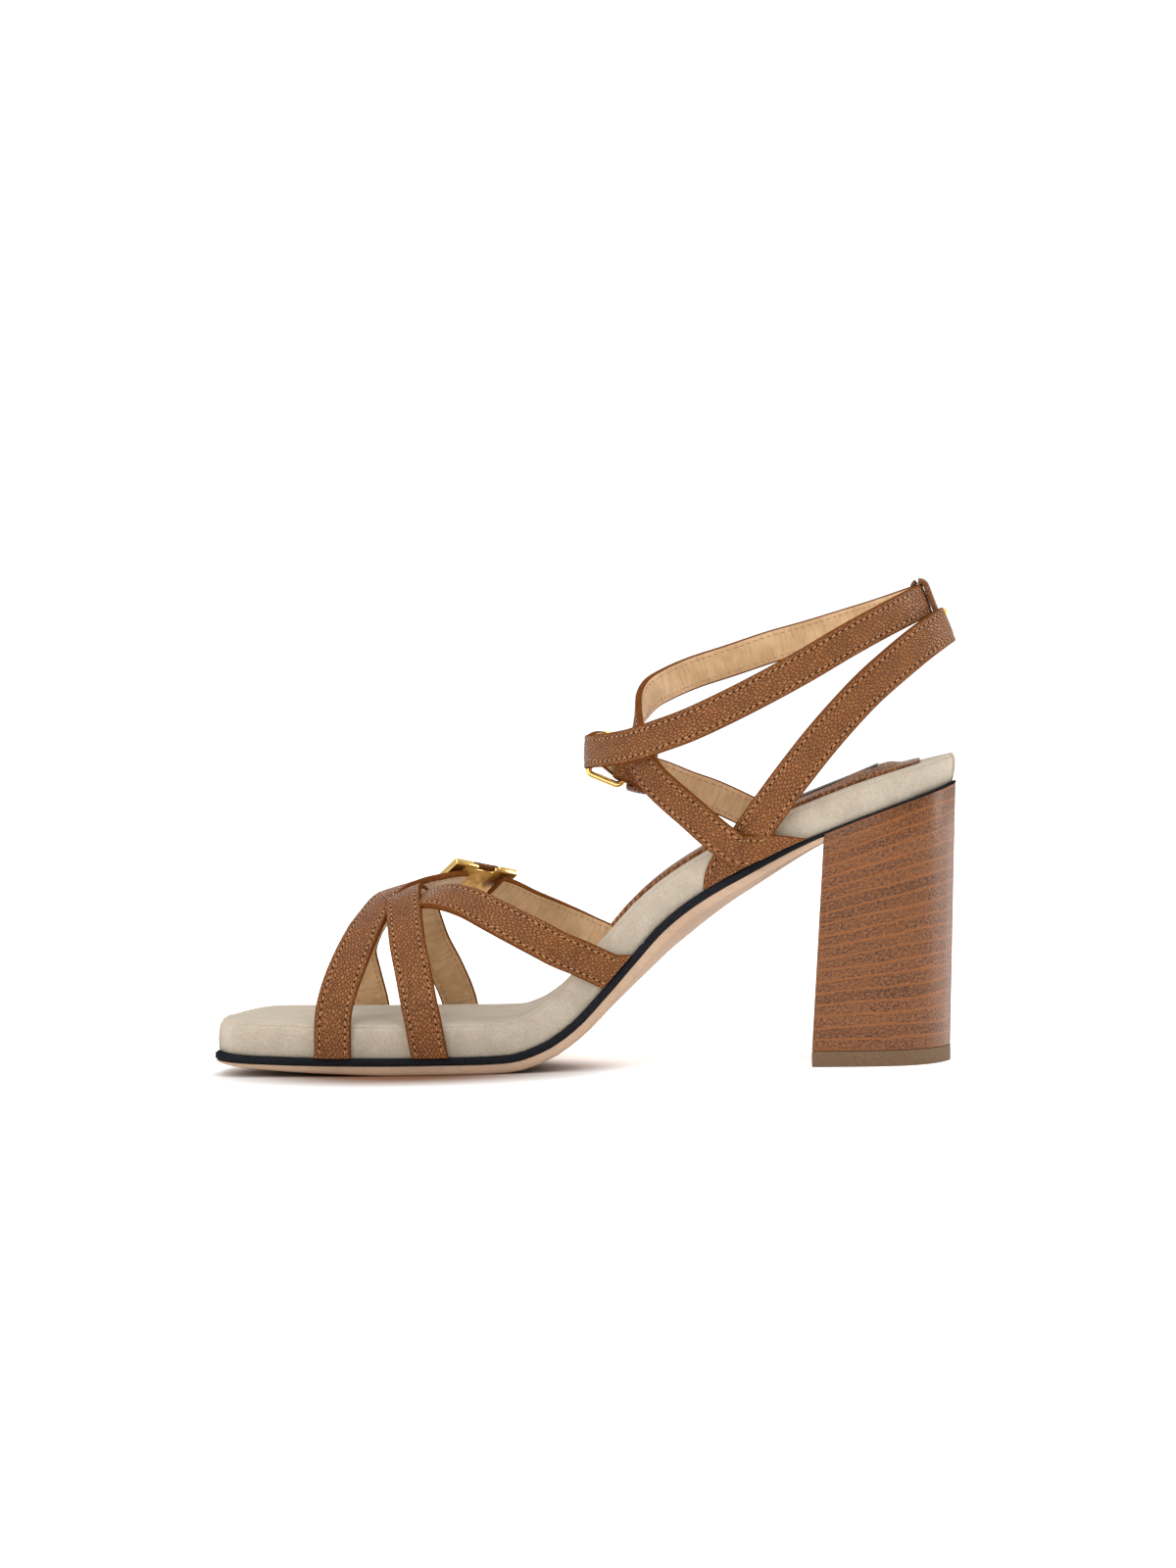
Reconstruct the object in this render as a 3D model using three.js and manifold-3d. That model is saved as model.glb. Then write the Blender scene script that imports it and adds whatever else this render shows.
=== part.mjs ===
// Heeled sandal for the right foot, in millimetres. The toe points to -X, the inner (medial) side to -Y, and
// +Z is up.
// The origin is the centre of the heel's ground face.
import * as THREE from "three";
import { mergeVertices } from "three/addons/utils/BufferGeometryUtils.js";
import Module from "manifold-3d";

const wasm = await Module();
wasm.setup();

// Sizes of the last and the sole
const footLength = 224.4; // toe tip to the back of the seat, along the floor
const ballWidth = 80;
const waistWidth = 50;
const seatWidth = 54;
const heelHeight = 84.6; // floor to the top of the board at the back of the seat
const toeSpring = 1.8; // how far the board lifts at the toe tip
const soleThickness = 2.8;
const waistDepth = 3.2; // how far the boat shaped waist hangs below the sole's edge
const boardThickness = 2.1;
const seatBoardThickness = 0.9; // the board's edge over the heel
const footbedToe = 10.4; // padded footbed's thickness at the toe
const footbedSeat = 9.2;
const footbedBulge = 0.3;
const sockThickness = 0.9;
const sockMargin = 5.5; // sock's edge to the footbed's edge
const seam = 0.3; // glue line between two pieces

// Sizes of the heel
const heelSeatLength = 39.4; // breast to the back of the seat, at the top
const heelFootLength = 41.4; // breast to back, on the ground
const heelFootWidth = 50;
const heelOverhang = 2.8; // how far the seat's back stands behind the heel's foot
const breastHollow = 1.2;
const topPieceThickness = 4.8;

// Sizes of the straps and their metal
const strapWidth = 11;
const ankleStrapWidth = 10;
const strapThickness = 2;
const vampHeight = 52; // board to the top of the vamp straps
const ankleHeight = 60; // board to the ankle strap, at the back
const anklePlanLength = 114; // ankle's oval in plan, for the direction that the straps face
const anklePlanWidth = 62;
const crossingLift = 1.2; // how far a strap stands out where it crosses another at the board
const claspLength = 23;
const claspWidth = 13;
const claspThickness = 2.2;
const claspNotchLength = 6;
const claspNotchDepth = 1.7;
const inlayLength = 9;
const inlayDepth = 0.9;
const claspGrip = 5; // length of strap that lies under each end of the clasp
const buckleLength = 13;
const buckleWidth = 15.5;
const buckleWire = 2;
const buckleLean = 3.4; // how far the buckle's front bar stands out over its hinge bar
const prongWire = 1.5;
const foldLength = 9; // end of the buckle strap that is folded back under itself
const keeperPlay = 0.7; // room between a keeper and what runs through it
const keeperWall = 1.1;
const keeperWidth = 5;
const backKeeperWidth = 4.4;
const buckleKeeperBehind = 13; // hinge bar to the middle of the keeper behind the buckle
const studDiameter = 2.6;
const studHeight = 0.8;
const labelLength = 24;
const labelWidth = 16;
const labelThickness = 0.5;

// Worked out from the sizes above
const groundStack = soleThickness + seam + boardThickness; // floor to the top of the board under the ball
const heelRise = heelHeight - groundStack;
const seatBack = heelFootLength / 2 + heelOverhang;
const toeTip = seatBack - footLength;
const breastAt = 1 - heelSeatLength / footLength;
const footbedInset = strapThickness / 2 + seam + footbedBulge;
const MEDIAL = -1;
const LATERAL = 1;

// The last's bottom seen from the side: at is the share of the length from the toe, rise the share of the
// heel's rise.
const lastProfile = [
  { at: -0.1, rise: 0 },
  { at: 0.36, rise: 0 },
  { at: 0.4, rise: 0.0045 },
  { at: 0.44, rise: 0.038 },
  { at: 0.48, rise: 0.11 },
  { at: 0.52, rise: 0.225 },
  { at: 0.56, rise: 0.352 },
  { at: 0.6, rise: 0.476 },
  { at: 0.64, rise: 0.566 },
  { at: 0.7, rise: 0.666 },
  { at: 0.78, rise: 0.773 },
  { at: 0.88, rise: 0.884 },
  { at: 1, rise: 1 },
  { at: 1.1, rise: 1.09 },
];
const springEnd = 0.27; // share of the length where the toe spring starts

// The last's outline from above: distances of the inner and the outer edge from the long axis.
const outline = [
  { at: 0, medial: 0.3 * ballWidth, lateral: -0.1 * ballWidth },
  { at: 0.008, medial: 0.36 * ballWidth, lateral: 0.06 * ballWidth },
  { at: 0.018, medial: 0.4 * ballWidth, lateral: 0.22 * ballWidth },
  { at: 0.03, medial: 0.425 * ballWidth, lateral: 0.34 * ballWidth },
  { at: 0.05, medial: 0.443 * ballWidth, lateral: 0.415 * ballWidth },
  { at: 0.09, medial: 0.456 * ballWidth, lateral: 0.46 * ballWidth },
  { at: 0.16, medial: 0.47 * ballWidth, lateral: 0.498 * ballWidth },
  { at: 0.25, medial: 0.475 * ballWidth, lateral: 0.525 * ballWidth },
  { at: 0.33, medial: 0.46 * ballWidth, lateral: 0.53 * ballWidth },
  { at: 0.4, medial: 0.43 * ballWidth, lateral: 0.515 * ballWidth },
  { at: 0.47, medial: 0.38 * ballWidth, lateral: 0.478 * ballWidth },
  { at: 0.55, medial: 0.52 * waistWidth, lateral: 0.66 * waistWidth },
  { at: 0.65, medial: 0.44 * waistWidth, lateral: 0.57 * waistWidth },
  { at: 0.75, medial: 0.46 * waistWidth, lateral: 0.54 * waistWidth },
  { at: 0.84, medial: 0.48 * seatWidth, lateral: 0.51 * seatWidth },
  { at: 0.9, medial: 0.485 * seatWidth, lateral: 0.495 * seatWidth },
  { at: 0.94, medial: 0.455 * seatWidth, lateral: 0.46 * seatWidth },
  { at: 0.97, medial: 0.37 * seatWidth, lateral: 0.37 * seatWidth },
  { at: 0.99, medial: 0.23 * seatWidth, lateral: 0.23 * seatWidth },
  { at: 1, medial: 0.09 * seatWidth, lateral: 0.09 * seatWidth },
];

// The outsole: thickness of its edge and depth of its boat shaped belly, as shares of soleThickness and
// waistDepth.
const soleSections = [
  { at: 0, edge: 0.22, belly: 0 },
  { at: 0.03, edge: 0.4, belly: 0 },
  { at: 0.08, edge: 0.6, belly: 0 },
  { at: 0.16, edge: 0.82, belly: 0 },
  { at: 0.25, edge: 1, belly: 0 },
  { at: 0.46, edge: 1, belly: 0 },
  { at: 0.51, edge: 1, belly: 0.08 },
  { at: 0.56, edge: 1, belly: 0.5 },
  { at: 0.62, edge: 1, belly: 1 },
  { at: 0.7, edge: 0.9, belly: 0.7 },
  { at: 0.78, edge: 0.72, belly: 0.4 },
  { at: 0.84, edge: 0.55, belly: 0.1 },
];

// Middle lines of the straps: at is the share of the length, across the share of ballWidth from the long axis
// (inner side negative), above the share of vampHeight or ankleHeight over the board.
const frontStrap = [
  { at: 0.173, across: -0.462, above: 0.25 },
  { at: 0.177, across: -0.425, above: 0.37 },
  { at: 0.188, across: -0.35, above: 0.54 },
  { at: 0.201, across: -0.25, above: 0.69 },
  { at: 0.214, across: -0.14, above: 0.8 },
  { at: 0.231, across: -0.03, above: 0.885 },
  { at: 0.255, across: 0.065, above: 0.95 },
  { at: 0.285, across: 0.145, above: 0.985 },
  { at: 0.32, across: 0.22, above: 0.985 },
  { at: 0.37, across: 0.33, above: 0.9 },
  { at: 0.408, across: 0.4, above: 0.785 },
  { at: 0.447, across: 0.45, above: 0.635 },
  { at: 0.486, across: 0.465, above: 0.43 },
  { at: 0.52, across: 0.438, above: 0.2 },
];
const middleStrap = [
  { at: 0.291, across: -0.466, above: 0.22 },
  { at: 0.284, across: -0.45, above: 0.34 },
  { at: 0.275, across: -0.41, above: 0.505 },
  { at: 0.266, across: -0.35, above: 0.64 },
  { at: 0.258, across: -0.255, above: 0.775 },
  { at: 0.252, across: -0.125, above: 0.885 },
  { at: 0.254, across: 0.02, above: 0.93 },
  { at: 0.261, across: 0.17, above: 0.9 },
  { at: 0.27, across: 0.32, above: 0.77 },
  { at: 0.284, across: 0.43, above: 0.57 },
  { at: 0.297, across: 0.487, above: 0.4 },
  { at: 0.306, across: 0.515, above: 0.22 },
];
const rearStrap = [
  { at: 0.522, across: -0.352, above: 0.15 },
  { at: 0.495, across: -0.38, above: 0.335 },
  { at: 0.469, across: -0.397, above: 0.48 },
  { at: 0.443, across: -0.4, above: 0.61 },
  { at: 0.417, across: -0.388, above: 0.705 },
  { at: 0.383, across: -0.355, above: 0.785 },
  { at: 0.345, across: -0.3, above: 0.85 },
  { at: 0.307, across: -0.22, above: 0.88 },
  { at: 0.275, across: -0.12, above: 0.887 },
  { at: 0.246, across: 0, above: 0.866 },
  { at: 0.214, across: 0.15, above: 0.8 },
  { at: 0.193, across: 0.3, above: 0.685 },
  { at: 0.185, across: 0.4, above: 0.54 },
  { at: 0.183, across: 0.47, above: 0.37 },
  { at: 0.184, across: 0.5, above: 0.2 },
];
const heelStrap = [
  { at: 0.729, across: 0.315, above: 0.163 },
  { at: 0.774, across: 0.352, above: 0.312 },
  { at: 0.828, across: 0.36, above: 0.478 },
  { at: 0.88, across: 0.33, above: 0.612 },
  { at: 0.92, across: 0.275, above: 0.69 },
  { at: 0.956, across: 0.19, above: 0.752 },
  { at: 0.982, across: 0.09, above: 0.788 },
];
const heelStrapBack = { at: 0.991, across: 0, above: 0.797 };
const ankleStrap = [
  { at: 0.692, across: -0.315, above: 0.188 },
  { at: 0.67, across: -0.305, above: 0.3 },
  { at: 0.645, across: -0.288, above: 0.44 },
  { at: 0.618, across: -0.262, above: 0.6 },
  { at: 0.596, across: -0.232, above: 0.752 },
  { at: 0.58, across: -0.195, above: 0.9 },
  { at: 0.573, across: -0.145, above: 1.01 },
  { at: 0.571, across: -0.07, above: 1.105 },
  { at: 0.576, across: 0.02, above: 1.175 },
  { at: 0.588, across: 0.11, above: 1.185 },
  { at: 0.612, across: 0.235, above: 1.145 },
  { at: 0.645, across: 0.325, above: 1.1 },
  { at: 0.69, across: 0.372, above: 1.06 },
  { at: 0.75, across: 0.385, above: 1.025 },
  { at: 0.8, across: 0.37, above: 1.005 },
  { at: 0.85, across: 0.325, above: 0.995 },
  { at: 0.9, across: 0.235, above: 0.993 },
  { at: 0.94, across: 0.115, above: 0.99 },
  { at: 0.956, across: 0, above: 0.975 },
  { at: 0.942, across: -0.11, above: 0.958 },
  { at: 0.91, across: -0.225, above: 0.935 },
  { at: 0.86, across: -0.325, above: 0.905 },
  { at: 0.803, across: -0.375, above: 0.867 },
  { at: 0.751, across: -0.388, above: 0.848 },
  { at: 0.699, across: -0.385, above: 0.848 },
  { at: 0.646, across: -0.36, above: 0.875 },
  { at: 0.605, across: -0.318, above: 0.938 },
  { at: 0.568, across: -0.25, above: 1.04 },
  { at: 0.535, across: -0.16, above: 1.155 },
  { at: 0.513, across: -0.07, above: 1.235 },
  { at: 0.503, across: 0.015, above: 1.27 },
  { at: 0.502, across: 0.09, above: 1.265 },
];
const buckleStrap = [
  { at: 0.745, across: 0.372, above: 0.125 },
  { at: 0.725, across: 0.378, above: 0.205 },
  { at: 0.7, across: 0.378, above: 0.3 },
  { at: 0.665, across: 0.372, above: 0.435 },
  { at: 0.63, across: 0.358, above: 0.59 },
  { at: 0.595, across: 0.325, above: 0.765 },
  { at: 0.57, across: 0.292, above: 0.905 },
  { at: 0.549, across: 0.258, above: 1.005 },
];
const tipAt = 0.672; // where the free tip ends, outside the buckle strap

// Where the straps run down beside the footbed: at is the place on the board's edge, lean how much farther
// back the end below it lies, out how far the strap stands out there because it crosses another.
const strapFeet = {
  frontMedial: { at: 0.171, side: MEDIAL },
  frontLateral: { at: 0.536, side: LATERAL, lean: 0.006 },
  middleMedial: { at: 0.299, side: MEDIAL, lean: 0.004 },
  middleLateral: { at: 0.311, side: LATERAL, lean: 0.004 },
  rearMedial: { at: 0.543, side: MEDIAL, lean: 0.012 },
  rearLateral: { at: 0.186, side: LATERAL },
  heelMedial: { at: 0.69, side: MEDIAL, lean: -0.014 },
  heelLateral: { at: 0.69, side: LATERAL, lean: -0.014 },
  ankle: { at: 0.757, side: MEDIAL, lean: 0.035, out: crossingLift },
  buckle: { at: 0.772, side: LATERAL, lean: 0.02, out: crossingLift },
};
const strapSteps = { front: 44, middle: 34, rear: 38, heel: 38, ankle: 86, buckle: 20 };
const claspAt = 0.336; // the clasp's left end, as a share of the length
const vampTurnAt = 0.42; // share of vampHeight from which the vamp straps turn to face up
const vampFacing = { forward: -0.4, up: 1.2 }; // which way they face on top
const ankleMiddleAt = 0.757; // middle of the ankle's oval, as a share of the length

// A smooth curve through a table's rows that never swings past them (monotone cubic).
function smooth(rows, column) {
  const slopes = rows.slice(1).map((r, i) => (r[column] - rows[i][column]) / (r.at - rows[i].at));
  const tangents = rows.map((_, i) => {
    const before = slopes[i - 1] ?? slopes[0];
    const after = slopes[i] ?? slopes[slopes.length - 1];
    return before * after <= 0 ? 0 : (2 * before * after) / (before + after);
  });
  return (at) => {
    let i = rows.findIndex((r, k) => k > 0 && at <= r.at);
    if (i < 0) i = rows.length - 1;
    const [a, b] = [rows[i - 1], rows[i]];
    const step = b.at - a.at;
    const t = Math.min(1, Math.max(0, (at - a.at) / step));
    const u = 1 - t;
    return (
      a[column] * (1 + 2 * t) * u * u +
      b[column] * (1 + 2 * u) * t * t +
      step * t * u * (tangents[i - 1] * u - tangents[i] * t)
    );
  };
}

const riseAt = smooth(lastProfile, "rise");
const medialAt = smooth(outline, "medial");
const lateralAt = smooth(outline, "lateral");
const soleEdgeAt = smooth(soleSections, "edge");
const soleBellyAt = smooth(soleSections, "belly");
const mix = THREE.MathUtils.lerp;

// Height of the last's bottom, which is the board's top
function lastHeight(at) {
  const spring = Math.max(0, 1 - at / springEnd) ** 2;
  return groundStack + toeSpring * spring + heelRise * riseAt(at);
}

// A point over the last's bottom: across in millimetres from the long axis, lift along the bottom's normal
function onLast(at, across, lift) {
  const probe = 0.002;
  const slope = (lastHeight(at + probe) - lastHeight(at - probe)) / (2 * probe * footLength);
  const unit = 1 / Math.hypot(1, slope);
  return new THREE.Vector3(
    toeTip + at * footLength - slope * unit * lift,
    across,
    lastHeight(at) + unit * lift,
  );
}

// Stations along the last, close together at both round ends
const stations = [];
const finestStep = 0.003;
const stepGrowth = 0.25;
const coarsestStep = 0.03;
for (let at = 0; at < 0.5; at += Math.min(coarsestStep, finestStep + stepGrowth * at)) {
  stations.push(at, 1 - at);
}
stations.sort((a, b) => a - b);

// Builds a solid from a list of triangles, each three points
function solid(triangles) {
  const soup = new THREE.BufferGeometry().setFromPoints(triangles.flat());
  const merged = mergeVertices(soup, 1e-4);
  const made = new wasm.Mesh({
    numProp: 3,
    vertProperties: merged.attributes.position.array,
    triVerts: new Uint32Array(merged.index.array),
  });
  return new wasm.Manifold(made);
}

const quad = (a, b, c, d) => [
  [a, b, c],
  [a, c, d],
];

// Half widths shrink by the inset, and by less where the outline is too narrow for it
const shrink = (half, inset) => (inset > 0 ? half - inset * (1 - Math.exp(-half / inset)) : half - inset);

// A layer of the sole. Each ring follows the outline, inset by some millimetres and lifted off the last's
// bottom; the sheet that closes it below may sag between the edges.
function layer({ from = 0, to = 1, rings, columns = 4, sag = () => 0 }) {
  const inner = stations.filter((at) => at > from + finestStep && at < to - finestStep);
  const marks = [from, ...inner, to];
  const rows = rings.map(({ inset, lift }) =>
    marks.map((at) => {
      const share = (at - from) / (to - from);
      const shifted = mix(from + inset / footLength, to - inset / footLength, share);
      const middle = (lateralAt(at) - medialAt(at)) / 2;
      const half = shrink((lateralAt(at) + medialAt(at)) / 2, inset);
      return { at: shifted, middle, half, lift: lift(at) };
    }),
  );
  const place = (row, side, extra = 0) =>
    onLast(row.at, row.middle + side * row.half, row.lift + extra);
  const loop = (ring) => [
    ...ring.map((row) => place(row, MEDIAL)),
    ...[...ring].reverse().map((row) => place(row, LATERAL)),
  ];
  const triangles = [];
  const loops = rows.map(loop);
  loops.slice(1).forEach((upper, r) => {
    const lower = loops[r];
    upper.forEach((point, k) => {
      const next = (k + 1) % upper.length;
      triangles.push(...quad(lower[k], lower[next], upper[next], point));
    });
  });
  const sheet = (ring, bulge, faceUp) => {
    const cross = ring.map((row, i) => {
      const whole = i > 0 && i < ring.length - 1;
      const count = whole ? columns : 1;
      return Array.from({ length: count + 1 }, (_, j) => {
        const side = (2 * j) / count - 1;
        return place(row, side, whole ? bulge(marks[i]) * (1 - side ** 4) : 0);
      });
    });
    const faces = [];
    cross.slice(1).forEach((b, i) => {
      const a = cross[i];
      if (a.length === b.length) {
        for (let j = 0; j < columns; j++) faces.push(...quad(a[j], b[j], b[j + 1], a[j + 1]));
      } else if (a.length < b.length) {
        for (let j = 0; j < columns; j++) faces.push([a[j < columns / 2 ? 0 : 1], b[j], b[j + 1]]);
        faces.push([a[0], b[columns / 2], a[1]]);
      } else {
        for (let j = 0; j < columns; j++) faces.push([a[j], b[j < columns / 2 ? 0 : 1], a[j + 1]]);
        faces.push([a[columns / 2], b[0], b[1]]);
      }
    });
    return faceUp ? faces : faces.map(([a, b, c]) => [a, c, b]);
  };
  triangles.push(...sheet(rows[0], sag, false));
  triangles.push(...sheet(rows[rows.length - 1], () => 0, true));
  return solid(triangles);
}

// Thickness of the board, thinner over the heel
function boardAt(at) {
  const share = THREE.MathUtils.smoothstep(at, breastAt - 0.12, breastAt);
  return mix(boardThickness, seatBoardThickness, share);
}
const footbedAt = (at) => mix(footbedToe, footbedSeat, at);

function makeBoard() {
  const round = 0.25;
  return layer({
    rings: [
      { inset: round, lift: (at) => -boardAt(at) },
      { inset: 0, lift: (at) => -boardAt(at) * 0.8 },
      { inset: 0, lift: (at) => -boardAt(at) * 0.2 },
      { inset: round, lift: () => 0 },
    ],
    columns: 2,
  });
}

function makeOutsole() {
  const round = 0.35;
  const bottom = (at, share) => -boardAt(at) - seam - soleThickness * soleEdgeAt(at) * share;
  const whole = layer({
    to: breastAt + 2 * finestStep,
    rings: [
      { inset: round * 2, lift: (at) => bottom(at, 1) },
      { inset: round, lift: (at) => bottom(at, 0.8) },
      { inset: round, lift: (at) => bottom(at, 0) },
    ],
    columns: 6,
    sag: (at) => -waistDepth * soleBellyAt(at),
  });
  return whole.subtract(heelBlock(seam));
}

// The footbed, or the room it takes with a glue line round it: its side leans out a little, then rolls over
// into the top
function footbedBlock(grown = 0) {
  const section = [
    { inset: footbedInset + 0.4, height: 0 },
    { inset: footbedInset - footbedBulge, height: 0.45 },
    { inset: footbedInset, height: 0.84 },
    { inset: footbedInset + 0.7, height: 0.95 },
    { inset: footbedInset + 2, height: 1 },
  ];
  return layer({
    rings: section.map(({ inset, height }) => ({
      inset: inset - grown,
      lift: (at) => seam - grown + (footbedAt(at) - seam + 2 * grown) * height,
    })),
    columns: 4,
  });
}

const sockFrom = 0.575;
const sockTo = 0.985;
function makeSock() {
  const edge = footbedInset + sockMargin;
  const base = (at) => footbedAt(at) + seam;
  return layer({
    from: sockFrom,
    to: sockTo,
    rings: [
      { inset: edge, lift: base },
      { inset: edge, lift: (at) => base(at) + sockThickness * 0.6 },
      { inset: edge + 0.6, lift: (at) => base(at) + sockThickness },
    ],
    columns: 4,
  });
}

// The label is a plain rectangle bent over the sock
function makeLabel() {
  const middle = 0.86;
  const reach = labelLength / 2 / footLength;
  const parts = 6;
  const at = Array.from({ length: parts + 1 }, (_, i) => mix(middle - reach, middle + reach, i / parts));
  const centre = (LATERAL * (lateralAt(middle) - medialAt(middle))) / 2;
  const low = (a) => footbedAt(a) + sockThickness + 2 * seam;
  const corner = (a, side, top) =>
    onLast(a, centre + (side * labelWidth) / 2, low(a) + (top ? labelThickness : 0));
  const triangles = [];
  const rings = at.map((a) => [
    corner(a, MEDIAL, false),
    corner(a, MEDIAL, true),
    corner(a, LATERAL, true),
    corner(a, LATERAL, false),
  ]);
  rings.slice(1).forEach((next, i) => {
    next.forEach((point, k) => {
      const m = (k + 1) % next.length;
      triangles.push(...quad(rings[i][k], point, next[m], rings[i][m]));
    });
  });
  const [first, last] = [rings[0], rings[parts]];
  triangles.push(...quad(...first), ...quad(...[...last].reverse()));
  return solid(triangles);
}

// The heel's section at a level from 0 on the ground to 1 under the seat: D shaped, its back round as the seat
function heelRing(level, height, grown = 0) {
  const sides = [breastAt, ...stations.filter((at) => at > breastAt + finestStep)];
  const breastColumns = 4;
  const point = (at, across, hollow) => {
    const share = (at - breastAt) / (1 - breastAt);
    const top = onLast(at, across, 0);
    const x = mix(heelFootLength * (share - 0.5), top.x, level);
    const y = mix((across * heelFootWidth) / seatWidth, across, level);
    return new THREE.Vector3(x + hollow - grown * (1 - share), y, height(at) + grown);
  };
  const medial = sides.map((at) => point(at, -medialAt(at), 0));
  const lateral = sides.map((at) => point(at, lateralAt(at), 0)).reverse();
  const breast = Array.from({ length: breastColumns - 1 }, (_, j) => {
    const share = (j + 1) / breastColumns;
    const across = mix(lateralAt(breastAt), -medialAt(breastAt), share);
    return point(breastAt, across, breastHollow * Math.sin(Math.PI * share));
  });
  return [...medial, ...lateral, ...breast];
}

// Closes a stack of rings that have the same number of points
function stack(rings) {
  const triangles = [];
  rings.slice(1).forEach((upper, r) => {
    upper.forEach((point, k) => {
      const next = (k + 1) % upper.length;
      triangles.push(...quad(rings[r][k], rings[r][next], upper[next], point));
    });
  });
  const flat = (ring) => ring.map((p) => new THREE.Vector2(p.x, p.y));
  const cap = (ring, faceUp) =>
    THREE.ShapeUtils.triangulateShape(flat(ring), []).map(([a, b, c]) =>
      faceUp ? [ring[a], ring[b], ring[c]] : [ring[a], ring[c], ring[b]],
    );
  triangles.push(...cap(rings[0], false), ...cap(rings[rings.length - 1], true));
  return solid(triangles);
}

// The heel block, or the room it takes with a glue line round its breast and seat
function heelBlock(grown = 0) {
  const levels = [0, 0.25, 0.5, 0.75, 1];
  const foot = topPieceThickness + seam;
  const seat = (at) => lastHeight(at) - boardAt(at) - seam;
  return stack(levels.map((level) => heelRing(level, (at) => mix(foot, seat(at), level), grown)));
}

function makeTopPiece() {
  return stack([heelRing(0, () => 0), heelRing(0, () => topPieceThickness)]);
}

// The point of a strap's middle line that a table's row gives
function strapPoint(row, height) {
  return new THREE.Vector3(
    toeTip + row.at * footLength,
    row.across * ballWidth,
    lastHeight(row.at) + row.above * height,
  );
}

// The points where a strap runs down beside the footbed: at the board's edge, and below it, where it is cut off
function strapFoot({ at, side, lean = 0, out = 0 }) {
  const edge = (a) => side * ((side === MEDIAL ? medialAt(a) : lateralAt(a)) + out);
  return [onLast(at + lean, edge(at + lean), -2 * strapThickness), onLast(at, edge(at), strapThickness / 2)];
}

// Directions that the straps face: round the forefoot, whose top slopes to the toe, and round the ankle's oval
function vampOutward(p) {
  const turn = lastHeight((p.x - toeTip) / footLength) + vampHeight * vampTurnAt;
  const up = Math.max(0, p.z - turn);
  return new THREE.Vector3(vampFacing.forward * up, p.y, vampFacing.up * up).normalize();
}
const ankleMiddle = toeTip + ankleMiddleAt * footLength;
function ankleOutward(p) {
  const along = (p.x - ankleMiddle) / anklePlanLength ** 2;
  return new THREE.Vector3(along, p.y / anklePlanWidth ** 2, 0).normalize();
}

// Frames along a strap's middle line: position, direction, outward normal and width direction
function strapFrames(points, outward, steps) {
  const line = new THREE.CatmullRomCurve3(points, false, "centripetal");
  line.arcLengthDivisions = 800;
  return Array.from({ length: steps + 1 }, (_, i) => {
    const p = line.getPointAt(i / steps);
    const t = line.getTangentAt(i / steps);
    const n = outward(p);
    n.addScaledVector(t, -n.dot(t)).normalize();
    return { p, t, n, w: new THREE.Vector3().crossVectors(n, t) };
  });
}

const strapCorner = 0.5;
function ribbon(frames, width, thickness) {
  const [a, b] = [width / 2, thickness / 2];
  const c = strapCorner;
  const section = [
    [-a, -b + c],
    [-a + c, -b],
    [a - c, -b],
    [a, -b + c],
    [a, b - c],
    [a - c, b],
    [-a + c, b],
    [-a, b - c],
  ];
  const rings = frames.map(({ p, n, w }) =>
    section.map(([u, v]) => p.clone().addScaledVector(w, u).addScaledVector(n, v)),
  );
  const triangles = [];
  rings.slice(1).forEach((next, i) => {
    next.forEach((point, k) => {
      const m = (k + 1) % section.length;
      triangles.push(...quad(rings[i][k], rings[i][m], next[m], point));
    });
  });
  const [first, last] = [rings[0], rings[rings.length - 1]];
  for (let k = 1; k < section.length - 1; k++) {
    triangles.push([first[0], first[k + 1], first[k]]);
    triangles.push([last[0], last[k], last[k + 1]]);
  }
  return solid(triangles);
}

// What the straps stop at: the board with all below it, and the footbed with its glue line
function soleEnvelope() {
  const reach = 12;
  const below = layer({
    from: -0.05,
    to: 1.05,
    rings: [
      { inset: -reach, lift: () => -reach },
      { inset: -reach, lift: () => seam },
    ],
    columns: 2,
  });
  return below.add(footbedBlock(seam));
}

const largest = (body) => body.decompose().reduce((a, b) => (a.volume() > b.volume() ? a : b));

// A body placed in a strap's frame: x along the strap, y across it, z outwards
function framed(geometry, { p, t, n, w }, offset = 0) {
  const place = new THREE.Matrix4().makeBasis(t, w, n);
  place.setPosition(p.clone().addScaledVector(n, offset));
  const g = (geometry.index ? geometry.toNonIndexed() : geometry.clone()).applyMatrix4(place);
  g.deleteAttribute("normal");
  g.deleteAttribute("uv");
  const merged = mergeVertices(g, 1e-4);
  return new wasm.Manifold(
    new wasm.Mesh({
      numProp: 3,
      vertProperties: merged.attributes.position.array,
      triVerts: new Uint32Array(merged.index.array),
    }),
  );
}

// A frame that faces the other way along the strap, its origin moved along the outward normal
function turnedBack({ p, t, n, w }, offset) {
  return { p: p.clone().addScaledVector(n, offset), t: t.clone().negate(), n, w: w.clone().negate() };
}

// A short tube round the y axis
const ringSides = 12;
function tubeRing(inner, outer, length) {
  const half = length / 2;
  const profile = [
    [inner, -half],
    [outer, -half],
    [outer, half],
    [inner, half],
    [inner, -half],
  ].map(([r, y]) => new THREE.Vector2(r, y));
  return new THREE.LatheGeometry(profile, ringSides);
}

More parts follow.
